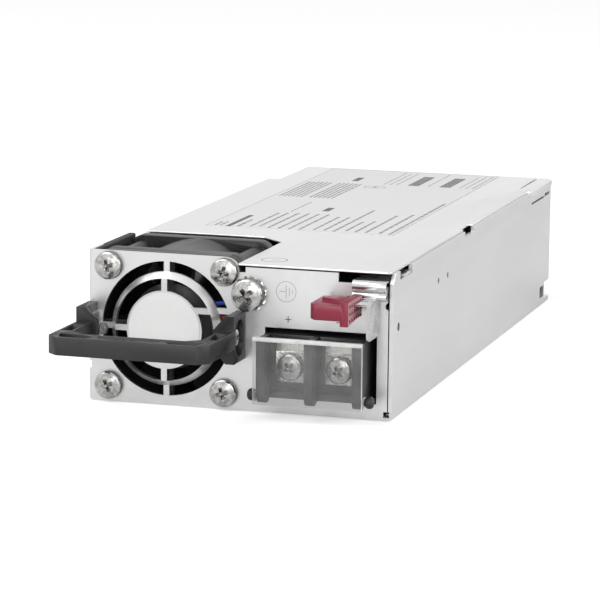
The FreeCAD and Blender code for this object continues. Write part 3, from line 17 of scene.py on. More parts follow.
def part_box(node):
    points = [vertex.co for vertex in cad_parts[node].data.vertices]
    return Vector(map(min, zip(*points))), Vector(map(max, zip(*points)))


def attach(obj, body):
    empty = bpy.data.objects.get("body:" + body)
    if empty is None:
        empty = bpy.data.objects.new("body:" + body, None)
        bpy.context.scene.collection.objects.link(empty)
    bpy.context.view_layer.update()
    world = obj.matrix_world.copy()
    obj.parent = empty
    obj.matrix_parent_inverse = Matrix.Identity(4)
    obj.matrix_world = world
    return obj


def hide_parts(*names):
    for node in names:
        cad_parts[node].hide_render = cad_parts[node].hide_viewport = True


MM = 0.001
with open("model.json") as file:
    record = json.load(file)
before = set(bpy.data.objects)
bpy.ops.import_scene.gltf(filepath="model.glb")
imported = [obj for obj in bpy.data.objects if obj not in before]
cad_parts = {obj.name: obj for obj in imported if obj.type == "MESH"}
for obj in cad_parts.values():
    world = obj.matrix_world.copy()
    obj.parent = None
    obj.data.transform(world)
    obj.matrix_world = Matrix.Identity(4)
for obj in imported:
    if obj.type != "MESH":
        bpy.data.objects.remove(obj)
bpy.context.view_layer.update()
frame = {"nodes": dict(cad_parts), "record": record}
nodes = frame["nodes"]
print("pieces in the frame:", len(nodes))


# %% [markdown]
# ## Measures read from the frame
# A piece that is added here has to sit on what carries it, so its place is worked out from the boxes of
# the frame's own pieces. Nothing below repeats a length that the frame can give.

# %% Measures
def span(node):
    low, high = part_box(node)
    return Vector(low), Vector(high)


def middle(node):
    low, high = span(node)
    return (low + high) / 2


fan_centre = middle("fan_frame")
lid_top = span("top_cover")[1].z
label_low, label_high = span("cover_label")
PLATE_FRONT = 0.0  # the frame's origin lies on the plate's outer face
print("fan centre in mm:", [round(value / MM, 2) for value in fan_centre])

# %% [markdown]
# ## The camera
# The photograph was taken with a long lens, from the front and a little above, on the terminal side. The
# camera stands where lines of the case, the fan screws and the label's corners fall on the same places
# as in the photograph. A long lens keeps the far end of the case almost as large as the near end.

# %% Camera
CAMERA_PLACE = Vector((238.2, -736.3, 167.0)) * MM
CAMERA_RIGHT = Vector((0.956968, 0.289995, 0.010697))
CAMERA_DOWN = Vector((0.060858, -0.164512, -0.984496))
CAMERA_LENS = 181.45
SENSOR = 36

camera_data = bpy.data.cameras.new("camera")
camera_data.lens = CAMERA_LENS
camera_data.sensor_width = SENSOR
camera_data.clip_start = 0.01
camera = bpy.data.objects.new("camera", camera_data)
bpy.context.scene.collection.objects.link(camera)
camera_back = CAMERA_DOWN.cross(CAMERA_RIGHT).normalized()
turn = Matrix((CAMERA_RIGHT, -CAMERA_DOWN, camera_back)).transposed()
camera.matrix_world = Matrix.Translation(CAMERA_PLACE) @ turn.to_4x4()
bpy.context.scene.camera = camera
print("camera looks along:", [round(-value, 3) for value in camera_back])

# %% [markdown]
# ## Writing shader maths as plain sums
# A finish is a few sums on noise and distance. Wired by hand each sum is a node and two links, so one
# small class wraps a socket and lets Python's own signs add those nodes. A second one holds the
# material that is being mixed and makes every other kind of node.

# %% Shader helpers
class Amount:
    """A number from a shader node, ready for plus, minus and times."""

    def __init__(self, mix, socket):
        self.mix = mix
        self.socket = socket

    def __add__(self, other):
        return self.mix.maths("ADD", self, other)

    def __sub__(self, other):
        return self.mix.maths("SUBTRACT", self, other)

    def __mul__(self, other):
        return self.mix.maths("MULTIPLY", self, other)


# A noise spends nearly all of its time between these two levels
NOISE_LOW, NOISE_HIGH = 0.3, 0.7


class Finish:
    """A material under construction, with its principled shader."""

    def __init__(self, name, **fixed):
        self.material = bpy.data.materials.new(name)
        self.material.use_nodes = True
        self.tree = self.material.node_tree
        self.shader = self.tree.nodes["Principled BSDF"]
        place = self.tree.nodes.new("ShaderNodeTexCoord")
        self.place = Amount(self, place.outputs["Object"])
        for name, value in fixed.items():
            self.shader.inputs[name.replace("_", " ")].default_value = value

    def plug(self, socket, value):
        if isinstance(value, Amount):
            self.tree.links.new(value.socket, socket)
        else:
            socket.default_value = value

    def node(self, kind, settings, inputs, output=0):
        made = self.tree.nodes.new(kind)
        for name, value in settings.items():
            setattr(made, name, value)
        for name, value in inputs.items():
            self.plug(made.inputs[name], value)
        return Amount(self, made.outputs[output])

    def maths(self, operation, first, second):
        return self.node("ShaderNodeMath", {"operation": operation}, {0: first, 1: second})

    def stretched(self, across, along, up):
        """The piece's own coordinates, stretched for grain that runs one way."""
        settings = {"operation": "MULTIPLY"}
        return self.node("ShaderNodeVectorMath", settings, {0: self.place, 1: (across, along, up)})

    def noise(self, scale, detail=4.0, vector=None, roughness=0.55):
        inputs = {"Vector": vector or self.place, "Scale": scale, "Detail": detail, "Roughness": roughness}
        return self.node("ShaderNodeTexNoise", {}, inputs)

    def spread(self, amount, low, high, to_low=0.0, to_high=1.0):
        inputs = {"Value": amount, "From Min": low, "From Max": high, "To Min": to_low, "To Max": to_high}
        return self.node("ShaderNodeMapRange", {"clamp": True}, inputs)

    def ranged(self, noise, to_low=0.0, to_high=1.0):
        return self.spread(noise, NOISE_LOW, NOISE_HIGH, to_low, to_high)

    def blend(self, factor, first, second):
        first = first if isinstance(first, Amount) else (*first, 1)
        return self.node("ShaderNodeMix", {"data_type": "RGBA"}, {0: factor, 6: first, 7: (*second, 1)}, 2)

    def tint(self, noise, dark, pale):
        """The base colour wanders between two tones with the noise."""
        self.set("Base Color", self.blend(self.ranged(noise), dark, pale))

    def sheen(self, noise, low, high):
        """The roughness wanders between two levels with the noise."""
        self.set("Roughness", self.ranged(noise, low, high))

    def edge_wear(self, radius):
        """How far the bevelled normal leaves the flat one: near 1 on flats, lower on edges."""
        bevel = self.node("ShaderNodeBevel", {"samples": 4}, {"Radius": radius})
        normal = Amount(self, self.tree.nodes.new("ShaderNodeNewGeometry").outputs["Normal"])
        return self.node("ShaderNodeVectorMath", {"operation": "DOT_PRODUCT"}, {0: bevel, 1: normal}, 1)

    def set(self, name, amount):
        self.plug(self.shader.inputs[name], amount)

    def bump(self, height, strength, distance):
        inputs = {"Strength": strength, "Distance": distance, "Height": height}
        self.set("Normal", self.node("ShaderNodeBump", {}, inputs))


finishes = {}


def wear(piece, name):
    """Gives the piece one finish all over."""
    piece.data.materials.clear()
    piece.data.materials.append(finishes[name])


# %% [markdown]
# ## Zinc-plated sheet steel
# The case is bright steel sheet. Rolling leaves a very fine grain along the sheet, handling leaves soft
# cloudy patches, and the plating evens both out. A metal's colour is its reflection, so the work is in
# the roughness: a fine stretched noise for the grain and a slow one for the clouds.

# %% Sheet steel
def sheet_steel(name, tone, rough, grain_along):
    steel = Finish(name, Metallic=1.0)
    grain = steel.noise(420.0, 3.0, steel.stretched(*grain_along))
    clouds = steel.noise(38.0, 3.0)
    fleck = steel.noise(1500.0, 2.0)
    steel.tint(grain * 0.5 + clouds * 0.5, [tone * 0.94] * 3, [tone] * 3)
    steel.sheen(grain * 0.6 + clouds * 0.4, rough - 0.04, rough + 0.06)
    steel.bump(grain * 0.7 + fleck * 0.3, 0.08, 0.05 * MM)
    finishes[name] = steel.material


sheet_steel("case_steel", 0.77, 0.36, (1.0, 0.06, 1.0))
sheet_steel("spring_steel", 0.62, 0.26, (0.06, 1.0, 1.0))
sheet_steel("sink_aluminium", 0.80, 0.40, (1.0, 0.04, 1.0))

# %% [markdown]
# ## Screws
# The screws are nickel-plated: shinier than the case, a little warm, with tiny scuffs where a driver has
# slipped. Two noises do this, one for the plating's waviness and one for the scuffs. The rims and the
# recesses have darker finishes of their own: painted shade, and on the rims also a painted dark reflection.

# %% Screw steel
plating = Finish("screw_steel", Metallic=1.0)
scuffs = plating.noise(900.0, 4.0)
waves = plating.noise(260.0, 2.0)
SCUFF_LOW = 0.35
scuffed = plating.spread(scuffs, SCUFF_LOW, NOISE_HIGH)
plating.set("Base Color", plating.blend(scuffed, (0.36, 0.355, 0.345), (0.68, 0.67, 0.65)))
plating.set("Roughness", plating.spread(scuffs, SCUFF_LOW, NOISE_HIGH, 0.14, 0.32))
plating.bump(waves * 0.6 + scuffs * 0.4, 0.18, 0.08 * MM)
finishes["screw_steel"] = plating.material

# The rim's dark colour is painted shade and a painted dark reflection on the head's side.
rim_painted_dark = Finish("screw_rim", Metallic=1.0)
rim_dark_noise = rim_painted_dark.noise(500.0, 4.0)
rim_painted_dark.tint(rim_dark_noise, (0.035, 0.034, 0.033), (0.10, 0.098, 0.095))
rim_painted_dark.sheen(rim_dark_noise, 0.28, 0.42)
finishes["screw_rim"] = rim_painted_dark.material

# The recess's dark colour is a painted shade.
recess_painted_shade = Finish("screw_recess", Metallic=1.0)
recess_shade_noise = recess_painted_shade.noise(700.0, 4.0)
recess_painted_shade.tint(recess_shade_noise, (0.10, 0.10, 0.10), (0.42, 0.41, 0.40))
recess_painted_shade.sheen(recess_shade_noise, 0.25, 0.45)
finishes["screw_recess"] = recess_painted_shade.material


# %% [markdown]
# ## Moulded plastics and rubber
# Moulded parts carry the fine spark-eroded texture of their tool. A high noise feeds the bump, and the
# edges, which hands polish, are a little smoother and paler. One function makes every moulded colour.

# %% Moulded plastic
RUBBED_EDGE = 0.35 * MM


def moulded(name, dark, pale, rough, texture=2600.0, strength=0.25):
    plastic = Finish(name)
    pebbles = plastic.noise(texture, 3.0)
    dust = plastic.noise(60.0, 4.0)
    edge, flat = 0.80, 0.995
    rubbed = plastic.spread(plastic.edge_wear(RUBBED_EDGE), edge, flat, 1.0, 0.0)
    dusty = plastic.blend(plastic.spread(dust, NOISE_LOW, 0.75), dark, pale)
    lighter = [value * 1.5 + 0.01 for value in pale]
    plastic.set("Base Color", plastic.blend(rubbed * 0.5, dusty, lighter))
    plastic.set("Roughness", plastic.ranged(pebbles, rough - 0.05, rough + 0.08) - rubbed * 0.1)
    plastic.bump(pebbles, strength, 0.04 * MM)
    finishes[name] = plastic.material


moulded("black_plastic", (0.010, 0.010, 0.011), (0.020, 0.020, 0.021), 0.44)
moulded("fan_plastic", (0.009, 0.009, 0.01), (0.018, 0.018, 0.019), 0.42)
moulded("black_rubber", (0.012, 0.012, 0.012), (0.022, 0.022, 0.022), 0.62)
moulded("red_plastic", (0.19, 0.008, 0.028), (0.25, 0.013, 0.04), 0.36)
moulded("red_pale_face", (0.40, 0.20, 0.22), (0.50, 0.30, 0.31), 0.5)
moulded("device_black", (0.015, 0.015, 0.016), (0.03, 0.03, 0.03), 0.5)
moulded("plug_white", (0.72, 0.71, 0.66), (0.80, 0.79, 0.74), 0.45)
moulded("lead_red", (0.45, 0.01, 0.015), (0.55, 0.02, 0.03), 0.35, 900.0, 0.1)
moulded("lead_blue", (0.01, 0.05, 0.40), (0.02, 0.08, 0.50), 0.35, 900.0, 0.1)
moulded("capacitor_sleeve", (0.012, 0.014, 0.03), (0.02, 0.022, 0.05), 0.22, 900.0, 0.1)
moulded("ferrite", (0.025, 0.025, 0.027), (0.05, 0.05, 0.052), 0.6, 1500.0, 0.4)
moulded("insulator_film", (0.5, 0.48, 0.38), (0.58, 0.56, 0.46), 0.35, 300.0, 0.1)
moulded("stator_iron", (0.10, 0.10, 0.11), (0.16, 0.16, 0.17), 0.45, 900.0, 0.3)

# %% [markdown]
# ## The clear flap
# The flap is a thin moulding of clear plastic. Dust and a slight haze keep it from being a plain window:
# it veils the black block behind it in grey. Alpha sets how much shows through, and a slow noise makes
# the haze uneven.

# %% Clear plastic
clear = Finish("clear_plastic", Roughness=0.12, IOR=1.49)
haze = clear.noise(90.0, 4.0)
clear.tint(haze, (0.30, 0.305, 0.305), (0.42, 0.425, 0.425))
clear.set("Alpha", clear.ranged(haze, 0.12, 0.24))
finishes["clear_plastic"] = clear.material

# A nearly white, mostly opaque finish for the flap's rims: a painted highlight.
rim = Finish("clear_rim_painted_glint", Roughness=0.2, IOR=1.49)
rim_glint_noise = rim.noise(300.0, 3.0)
rim.tint(rim_glint_noise, (0.78, 0.79, 0.79), (0.9, 0.9, 0.9))
rim.set("Alpha", rim.ranged(rim_glint_noise, 0.72, 0.88))
finishes["clear_rim_painted_glint"] = rim.material

# %% [markdown]
# ## Label paper and ink
# The labels are coated paper: nearly white, with the faint mottling of paper fibre. Ink lies on it with
# soft, slightly uneven density.

# %% Paper and ink
paper = Finish("label_paper")
fibre = paper.noise(1200.0, 5.0)
paper.tint(fibre, (0.78, 0.78, 0.775), (0.81, 0.81, 0.805))
paper.sheen(fibre, 0.42, 0.55)
paper.bump(fibre, 0.05, 0.02 * MM)
finishes["label_paper"] = paper.material


def ink(name, dark, pale):
    pigment = Finish(name)
    density = pigment.noise(2400.0, 3.0)
    thin, thick = 0.35, 0.65
    pigment.set("Base Color", pigment.blend(pigment.spread(density, thin, thick), dark, pale))
    pigment.set("Roughness", pigment.spread(density, thin, thick, 0.45, 0.6))
    finishes[name] = pigment.material


ink("ink_dark", (0.05, 0.05, 0.052), (0.11, 0.11, 0.112))
ink("ink_grey", (0.20, 0.20, 0.202), (0.28, 0.28, 0.282))
ink("mark_grey", (0.05, 0.05, 0.05), (0.10, 0.10, 0.10))
ink("faint_grey", (0.30, 0.30, 0.30), (0.42, 0.42, 0.42))


# %% [markdown]
# ## Board, contacts and winding
# The board is green solder mask with copper faintly showing under it. The contacts are tinned brass, and
# the choke's winding is enamelled copper with a ripple for each turn.

# %% Board, contacts and winding
board = Finish("board_green", IOR=1.5)
traces = board.noise(160.0, 2.0, board.stretched(1.0, 0.3, 1.0))
copper_under = board.spread(traces, 0.45, 0.55)
board.set("Base Color", board.blend(copper_under, (0.006, 0.045, 0.018), (0.010, 0.07, 0.028)))
board.set("Roughness", board.spread(traces, 0.4, 0.6, 0.22, 0.35))
finishes["board_green"] = board.material

tinned = Finish("contact_brass", Metallic=1.0)
blotch = tinned.noise(500.0, 3.0)
tinned.tint(blotch, (0.66, 0.64, 0.58), (0.82, 0.81, 0.77))
tinned.sheen(blotch, 0.18, 0.32)
finishes["contact_brass"] = tinned.material

copper = Finish("winding_copper", Metallic=1.0)
settings = {"wave_type": "BANDS", "bands_direction": "Z"}
turns = copper.node("ShaderNodeTexWave", settings, {"Vector": copper.place, "Scale": 400.0}, 1)
copper.set("Base Color", copper.blend(turns, (0.36, 0.13, 0.05), (0.68, 0.30, 0.13)))
copper.set("Roughness", copper.spread(turns, 0.0, 1.0, 0.25, 0.4))
copper.bump(turns, 0.5, 0.2 * MM)
finishes["winding_copper"] = copper.material
print("finishes mixed:", len(finishes))

# %% [markdown]
# ## Dress the frame's pieces
# Every piece of the frame takes a finish. The pieces that are modelled again below replace theirs later.

# %% Finish of each piece
FINISH_OF = {
    "case_steel": ["base_chassis", "top_cover"],
    "spring_steel": ["latch_spring"],
    "screw_steel": ["fan_screws", "ground_screw", "ground_star_washer", "handle_screws", "terminal_screws",
                    "terminal_clamp_plates", "cover_screws", "board_screws",
                    "board_standoffs", "fan_shaft", "fan_bearings"],
    "screw_rim": ["latch_rivets"],
    "black_plastic": ["handle", "terminal_block", "output_connector"],
    "fan_plastic": ["fan_frame", "fan_rotor", "fan_gasket"],
    "black_rubber": ["fan_edge_strip"],
    "red_plastic": ["release_tab"],
    "clear_plastic": ["terminal_cover"],
    "label_paper": ["hub_label", "cover_label"],
    "contact_brass": ["terminal_contacts", "output_contacts"],
    "stator_iron": ["fan_stator"],
    "board_green": ["main_circuit_board", "control_board"],
    "insulator_film": ["insulating_sheet"],
    "ferrite": ["transformer_core", "filter_choke_core"],
    "winding_copper": ["filter_choke_winding"],
    "capacitor_sleeve": ["bulk_capacitors", "film_capacitors"],
    "sink_aluminium": ["primary_heat_sink", "secondary_heat_sink"],
    "device_black": ["power_transistors", "transformer_winding"],
    "plug_white": ["fan_plug", "fan_header"],
    "lead_red": ["fan_lead_red"],
    "lead_blue": ["fan_lead_blue"],
}
for finish_name, members in FINISH_OF.items():
    for member in members:
        wear(nodes[member], finish_name)


# %% [markdown]
# ## Eased edges
# Real sheet and mouldings have no perfectly sharp edge: each one is a thin bright line. A copy of the
# piece has its triangles merged into clean faces, then gets a narrow bevel. The original stays in the
# frame, hidden, and the copy stands for it. The original stays in the frame for collision, and the
# copy stands for it.

# %% Edge easing
def only(piece):
    bpy.ops.object.select_all(action="DESELECT")
    piece.select_set(True)
    bpy.context.view_layer.objects.active = piece


def apply_all(piece):
    only(piece)
    for modifier in list(piece.modifiers):
        bpy.ops.object.modifier_apply(modifier=modifier.name)


def body_of(node):
    return next(body for body, members in frame["record"]["behaviour"]["bodies"].items() if node in members)


def stands_for(piece, node):
    """The piece takes the node's place and body."""
    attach(piece, body_of(node))
    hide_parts(node)


EASED_ANGLE = math.radians(35)
DOUBLES = 0.002 * MM
FLAT_ANGLE = math.radians(1.0)


def eased(node, width):
    piece = bpy.data.objects.new(node + "_eased", nodes[node].data.copy())
    bpy.context.scene.collection.objects.link(piece)
    only(piece)
    bpy.ops.object.mode_set(mode="EDIT")
    bpy.ops.mesh.select_all(action="SELECT")
    bpy.ops.mesh.remove_doubles(threshold=DOUBLES)
    bpy.ops.mesh.dissolve_limited(angle_limit=FLAT_ANGLE)
    bpy.ops.object.mode_set(mode="OBJECT")
    bevel = piece.modifiers.new("ease", "BEVEL")
    bevel.width = width
    bevel.segments = 2
    bevel.limit_method = "ANGLE"
    bevel.angle_limit = EASED_ANGLE
    bevel.harden_normals = True
    apply_all(piece)
    bpy.ops.object.shade_smooth_by_angle(angle=EASED_ANGLE)
    stands_for(piece, node)
    print(node, "eased, faces:", len(piece.data.polygons))
    return piece


EASE = {
    "handle": 0.3, "release_tab": 0.2, "terminal_block": 0.15, "latch_spring": 0.04, "fan_frame": 0.25,
    "fan_gasket": 0.2, "top_cover": 0.12, "terminal_clamp_plates": 0.12,
}
for node, millimetres in EASE.items():
    eased(node, millimetres * MM)

# %% [markdown]
# ## Drawing round pieces ring by ring
# A screw head is turned on a lathe, so it is drawn the same way: a filled circle is pulled along its
# axis and scaled once for each step of its profile. Everything starts at the origin with its axis up, and
# is turned and moved to its seat at the end, with the move applied to the mesh.

# %% Round pieces
def edit(piece):
    only(piece)
    bpy.ops.object.mode_set(mode="EDIT")
    bpy.ops.mesh.select_all(action="SELECT")


def leave():
    bpy.ops.object.mode_set(mode="OBJECT")


def turned(name, profile, sides=48):
    """A solid of revolution from pairs of radius and height in millimetres."""
    bpy.ops.object.select_all(action="DESELECT")
    radius, height = profile[0]
    bpy.ops.mesh.primitive_circle_add(vertices=sides, radius=radius * MM, fill_type="NGON",
                                      location=(0, 0, height * MM))
    piece = bpy.context.active_object
    piece.name = name
    bpy.ops.object.transform_apply()
    edit(piece)
    for next_radius, next_height in profile[1:]:
        bpy.ops.mesh.extrude_region_move(
            TRANSFORM_OT_translate={"value": (0, 0, (next_height - height) * MM)})
        factor = next_radius / radius
        bpy.ops.transform.resize(value=(factor, factor, 1), center_override=(0, 0, next_height * MM))
        radius, height = next_radius, next_height
    bpy.ops.mesh.select_all(action="SELECT")
    bpy.ops.mesh.normals_make_consistent(inside=False)
    leave()
    return piece


def block(name, low, high):
    """A slab between two corners in metres, as a start for cutters, bars and teeth."""
    low, high = Vector(low), Vector(high)
    bpy.ops.object.select_all(action="DESELECT")
    bpy.ops.mesh.primitive_cube_add(size=1, location=(low + high) / 2, scale=high - low)
    piece = bpy.context.active_object
    piece.name = name
    bpy.ops.object.transform_apply()
    return piece


def joined(name, pieces):
    bpy.ops.object.select_all(action="DESELECT")
    for piece in pieces:
        piece.select_set(True)
    bpy.context.view_layer.objects.active = pieces[0]
    if len(pieces) > 1:
        bpy.ops.object.join()
    pieces[0].name = name
    return pieces[0]


def twin(piece, name):
    """A copy with a mesh of its own."""
    copy = piece.copy()
    copy.data = piece.data.copy()
    copy.name = name
    bpy.context.scene.collection.objects.link(copy)
    return copy


def seat(piece, place, tilt, spin=0.0):
    """Spins the piece about its axis, tips the axis and moves it, then applies all three."""
    piece.matrix_world = (Matrix.Translation(place) @ Matrix.Rotation(math.radians(tilt[0]), 4, tilt[1])
                          @ Matrix.Rotation(math.radians(spin), 4, "Z"))
    only(piece)
    bpy.ops.object.transform_apply()
    return piece


def carve(piece, cutter):
    """Takes the cutter's shape out of the piece."""
    difference = piece.modifiers.new("carve", "BOOLEAN")
    difference.operation = "DIFFERENCE"
    difference.solver = "EXACT"
    difference.object = cutter
    apply_all(piece)
    bpy.data.objects.remove(cutter, do_unlink=True)


def soften(piece, width, angle=35):
    """Bevels the edges that are sharper than the angle, by a width in millimetres."""
    bevel = piece.modifiers.new("soften", "BEVEL")
    bevel.width = width * MM
    bevel.segments = 2
    bevel.limit_method = "ANGLE"
    bevel.angle_limit = math.radians(angle)
    apply_all(piece)
    bpy.ops.object.shade_smooth_by_angle(angle=math.radians(angle))


TOWARD_VIEWER = (90, "X")
TOWARD_LEFT = (-90, "Y")
TOWARD_RIGHT = (90, "Y")


# %% [markdown]
# ## Pan-head screws
# A pan head has a short upright rim, a shoulder and a low crown. Its cross recess narrows as it goes
# down, so each arm of the cutter is a bar with its lower face pinched. The rim below the shoulder is
# rougher and dark: the dark is painted shade and a painted dark reflection on the head's side. The cross
# recess is darker too, a painted shade. One screw is drawn for each size and copied to its places, and
# each copy is spun to where a driver happened to stop.

# %% Screws
RECESS_REACH, RECESS_HALF, RECESS_FLOOR = 0.64, 0.16, 0.30  # shares of the head's radius and height
PINCH = (0.30, 0.6, 1)  # of each arm's lower face
RIM, SHOULDER = 0.50, 0.80  # shares of the head's height
DOME_PART = 0.80  # share of the radius where the shoulder ends and the crown begins
THREAD_PITCH = 0.5


def cross_cutter(radius, height):
    reach = radius * RECESS_REACH
    half = radius * RECESS_HALF
    low = Vector((-reach, -half, height * RECESS_FLOOR))
    high = Vector((reach, half, height * 1.3))
    arms = []
    for turn in (0, 90):
        arm = block("arm", low * MM, high * MM)
        edit(arm)
        bpy.ops.mesh.select_mode(type="FACE")
        bpy.ops.mesh.select_all(action="DESELECT")
        leave()
        lowest = min(arm.data.polygons, key=lambda face: face.center.z)
        lowest.select = True
        only(arm)
        bpy.ops.object.mode_set(mode="EDIT")
        bpy.ops.transform.resize(value=PINCH, center_override=(0, 0, 0))
        leave()
        seat(arm, (0, 0, 0), (0, "X"), turn)
        arms.append(arm)
    first, second = arms
    union = first.modifiers.new("union", "BOOLEAN")
    union.operation = "UNION"
    union.solver = "EXACT"
    union.object = second
    apply_all(first)
    bpy.data.objects.remove(second, do_unlink=True)
    return first


def pan_screw(name, radius, height, shank, run):
    """Head in millimetres above the seat at zero, shank below it."""
    rim = height * RIM
    shoulder = height * SHOULDER
    curve = [math.radians(angle) for angle in (15, 30, 45, 60, 75, 90)]
    crown = [(radius * (DOME_PART + (1 - DOME_PART) * math.cos(step)),
              rim + (shoulder - rim) * math.sin(step)) for step in curve]
    crown += [(radius * part, height - (height - shoulder) * part * part / DOME_PART ** 2)
              for part in (0.62, 0.4, 0.2, 0.04)]
    tip = [(shank * 0.7, -run), (shank, -run + 0.35)]
    for ridge in range(3):
        up = -run + THREAD_PITCH * ridge
        tip += [(shank * 0.8, up + 0.6), (shank, up + 0.85)]
    foot = [(shank, -0.02), (radius * 0.94, 0.0), (radius, height * 0.07), (radius, rim)]
    screw = turned(name, tip + foot + crown)
    carve(screw, cross_cutter(radius, height))
    wear(screw, "screw_steel")
    screw.data.materials.append(finishes["screw_rim"])
    screw.data.materials.append(finishes["screw_recess"])
    # Recess faces take the painted recess shade; rim faces below the shoulder take the painted dark rim
    # shade and reflection.
    for face in screw.data.polygons:
        spread = face.center.to_2d().length
        if spread < radius * 0.66 * MM and (face.normal.z < 0.6 or face.center.z < height * 0.5 * MM):
            face.material_index = 2
        elif face.center.z < rim * 1.12 * MM and spread > shank * 1.05 * MM:
            face.material_index = 1
    soften(screw, radius * 0.025, 40)
    return screw


def screw_set(node, pattern, seats, tilt, spins):
    """Copies one drawn screw to all its seats and lets the set stand for the node."""
    copies = [twin(pattern, f"{node}_{number}") for number in range(len(seats))]
    for copy, place, spin in zip(copies, seats, spins):
        seat(copy, place, tilt, spin)
    bpy.data.objects.remove(pattern, do_unlink=True)
    whole = joined(node + "_turned", copies)
    stands_for(whole, node)
    return whole


HOLE_PITCH = 32.0
HALF_PITCH = HOLE_PITCH / 2 * MM
low, high = span("fan_screws")
fan_head = ((high.x - low.x) / MM - HOLE_PITCH) / 2
fan_seats = [Vector((fan_centre.x + side * HALF_PITCH, 0, fan_centre.z + rise * HALF_PITCH))
             for side in (-1, 1) for rise in (-1, 1)]
pattern = pan_screw("fan_screw", fan_head, -low.y / MM, 1.9, high.y / MM)
screw_set("fan_screws", pattern, fan_seats, TOWARD_VIEWER, (24, 12, 18, -16))

low, high = span("ground_screw")
washer_low, washer_high = span("ground_star_washer")
ground_place = Vector(((low.x + high.x) / 2, washer_low.y, (low.z + high.z) / 2))
pattern = pan_screw("ground_screw", (high.x - low.x) / 2 / MM, (washer_low.y - low.y) / MM, 2.0,
                    (high.y - washer_low.y) / MM)
screw_set("ground_screw", pattern, [ground_place], TOWARD_VIEWER, (38,))

low, high = span("terminal_screws")
clamp_low = span("terminal_clamp_plates")[0]
terminal_head = (high.z - low.z) / 2
terminal_seats = [Vector((x, clamp_low.y, (low.z + high.z) / 2))
                  for x in (low.x + terminal_head, high.x - terminal_head)]
pattern = pan_screw("terminal_screw", terminal_head / MM, (clamp_low.y - low.y) / MM, 1.7,
                    (high.y - clamp_low.y) / MM)
screw_set("terminal_screws", pattern, terminal_seats, TOWARD_VIEWER, (40, 33))

low, high = span("handle_screws")
handle_head = (high.y - low.y) / 2
HEAD_HEIGHT = 0.9 * MM
pattern = pan_screw("handle_screw", handle_head / MM, HEAD_HEIGHT / MM, 1.5, 5.4)
pair = []
for x, tilt in ((low.x + HEAD_HEIGHT, TOWARD_LEFT), (high.x - HEAD_HEIGHT, TOWARD_RIGHT)):
    place = (x, (low.y + high.y) / 2, (low.z + high.z) / 2)
    pair.append(seat(twin(pattern, "handle_screw_copy"), place, tilt, 20))
bpy.data.objects.remove(pattern, do_unlink=True)
handle_pair = joined("handle_screws_turned", pair)
stands_for(handle_pair, "handle_screws")


# %% [markdown]
# ## Toothed washer
# The washer's teeth are twisted out of its plane, so that they bite both ways. One tooth is a slab with
# its outer end turned about the radius. Twelve copies stand round a flat ring.

# %% Star washer
TEETH = 12
TWIST = math.radians(24)


def star_washer():
    outer = (washer_high.x - washer_low.x) / 2 / MM
    sheet = (washer_high.y - washer_low.y) / MM
    ring = turned("washer_ring", [(outer - 1.0, 0), (outer - 0.8, 0.1), (outer - 0.8, sheet - 0.1),
                                  (outer - 1.0, sheet)])
    hole = turned("washer_hole", [(2.1, -1), (2.1, sheet + 1)])
    carve(ring, hole)
    teeth = []
    low = Vector((outer - 1.5, -0.72, sheet / 2 - 0.15))
    high = Vector((outer - 0.06, 0.72, sheet / 2 + 0.15))
    for number in range(TEETH):
        tooth = block("tooth", low * MM, high * MM)
        edit(tooth)
        bpy.ops.transform.rotate(value=TWIST, orient_axis="X", center_override=(0, 0, sheet / 2 * MM))
        leave()
        seat(tooth, (0, 0, 0), (0, "X"), 360 / TEETH * number + 8)
        soften(tooth, 0.06)
        teeth.append(tooth)
    soften(ring, 0.08)
    washer = joined("ground_star_washer_toothed", [ring] + teeth)
    wear(washer, "screw_steel")
    centre = (washer_low + washer_high) / 2
    seat(washer, (centre.x, washer_high.y, centre.z), TOWARD_VIEWER)
    stands_for(washer, "ground_star_washer")
    print("washer teeth:", len(teeth))


star_washer()


# %% [markdown]
# ## The clear flap's edges
# Clear plastic gathers light at its rims: the thick top lip and the ends look nearly white while the
# broad face is grey. That light is painted: the eased copy of the flap has its rim faces, its end faces
# and its level faces given a nearly white finish of their own, a painted highlight.

# %% Flap rims
def flap_rims():
    flap = eased("terminal_cover", 0.12 * MM)
    flap.data.materials.append(finishes["clear_rim_painted_glint"])
    low, high = span("terminal_cover")
    lip = 1.15 * MM
    side = 0.22 * MM
    marked = 0
    # Lip, end and level faces take the painted highlight.
    for face in flap.data.polygons:
        at = face.center
        top = at.z > high.z - lip
        end = at.x < low.x + side or at.x > high.x - side
        under = abs(face.normal.z) > 0.6
        if top or end or under:
            face.material_index = 1
            marked += 1
    print("flap rim faces:", marked, "of", len(flap.data.polygons))


flap_rims()


# %% [markdown]
# ## Grip dots and spring ribs
# The tab's rim has three rows of small domes on its right side, where the flat face is a paler red. The
# spring's seam between its two rolls is knurled with fine upright ribs. One dome is turned for each place
# in a loop, and one rib is repeated by an array.

# %% Dots and ribs
DOME = [(0.42, -0.2), (0.42, 0.05), (0.36, 0.18), (0.22, 0.27), (0.06, 0.30)]
RIB_COUNT, RIB_PITCH = 19, 0.45


def grip_dots():
    low, high = span("release_tab")
    dots = []
    for row in range(3):
        for column in range(6):
            dot = turned("dot", DOME, 16)
            y = low.y + (1.5 + 2.05 * column) * MM
            z = low.z + (1.35 + 1.85 * row) * MM
            dots.append(seat(dot, (high.x, y, z), TOWARD_RIGHT))
    grip = joined("release_tab_grip", dots)
    only(grip)
    bpy.ops.object.shade_smooth_by_angle(angle=math.radians(40))
    wear(grip, "red_plastic")
    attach(grip, body_of("release_tab"))
    tab = bpy.data.objects["release_tab_eased"]
    # The tab's flat right face takes a paler red.
    tab.data.materials.append(finishes["red_pale_face"])
    for face in tab.data.polygons:
        if face.normal.x > 0.95 and face.center.x > high.x - 0.1 * MM:
            face.material_index = 1
    print("grip dots:", len(dots))


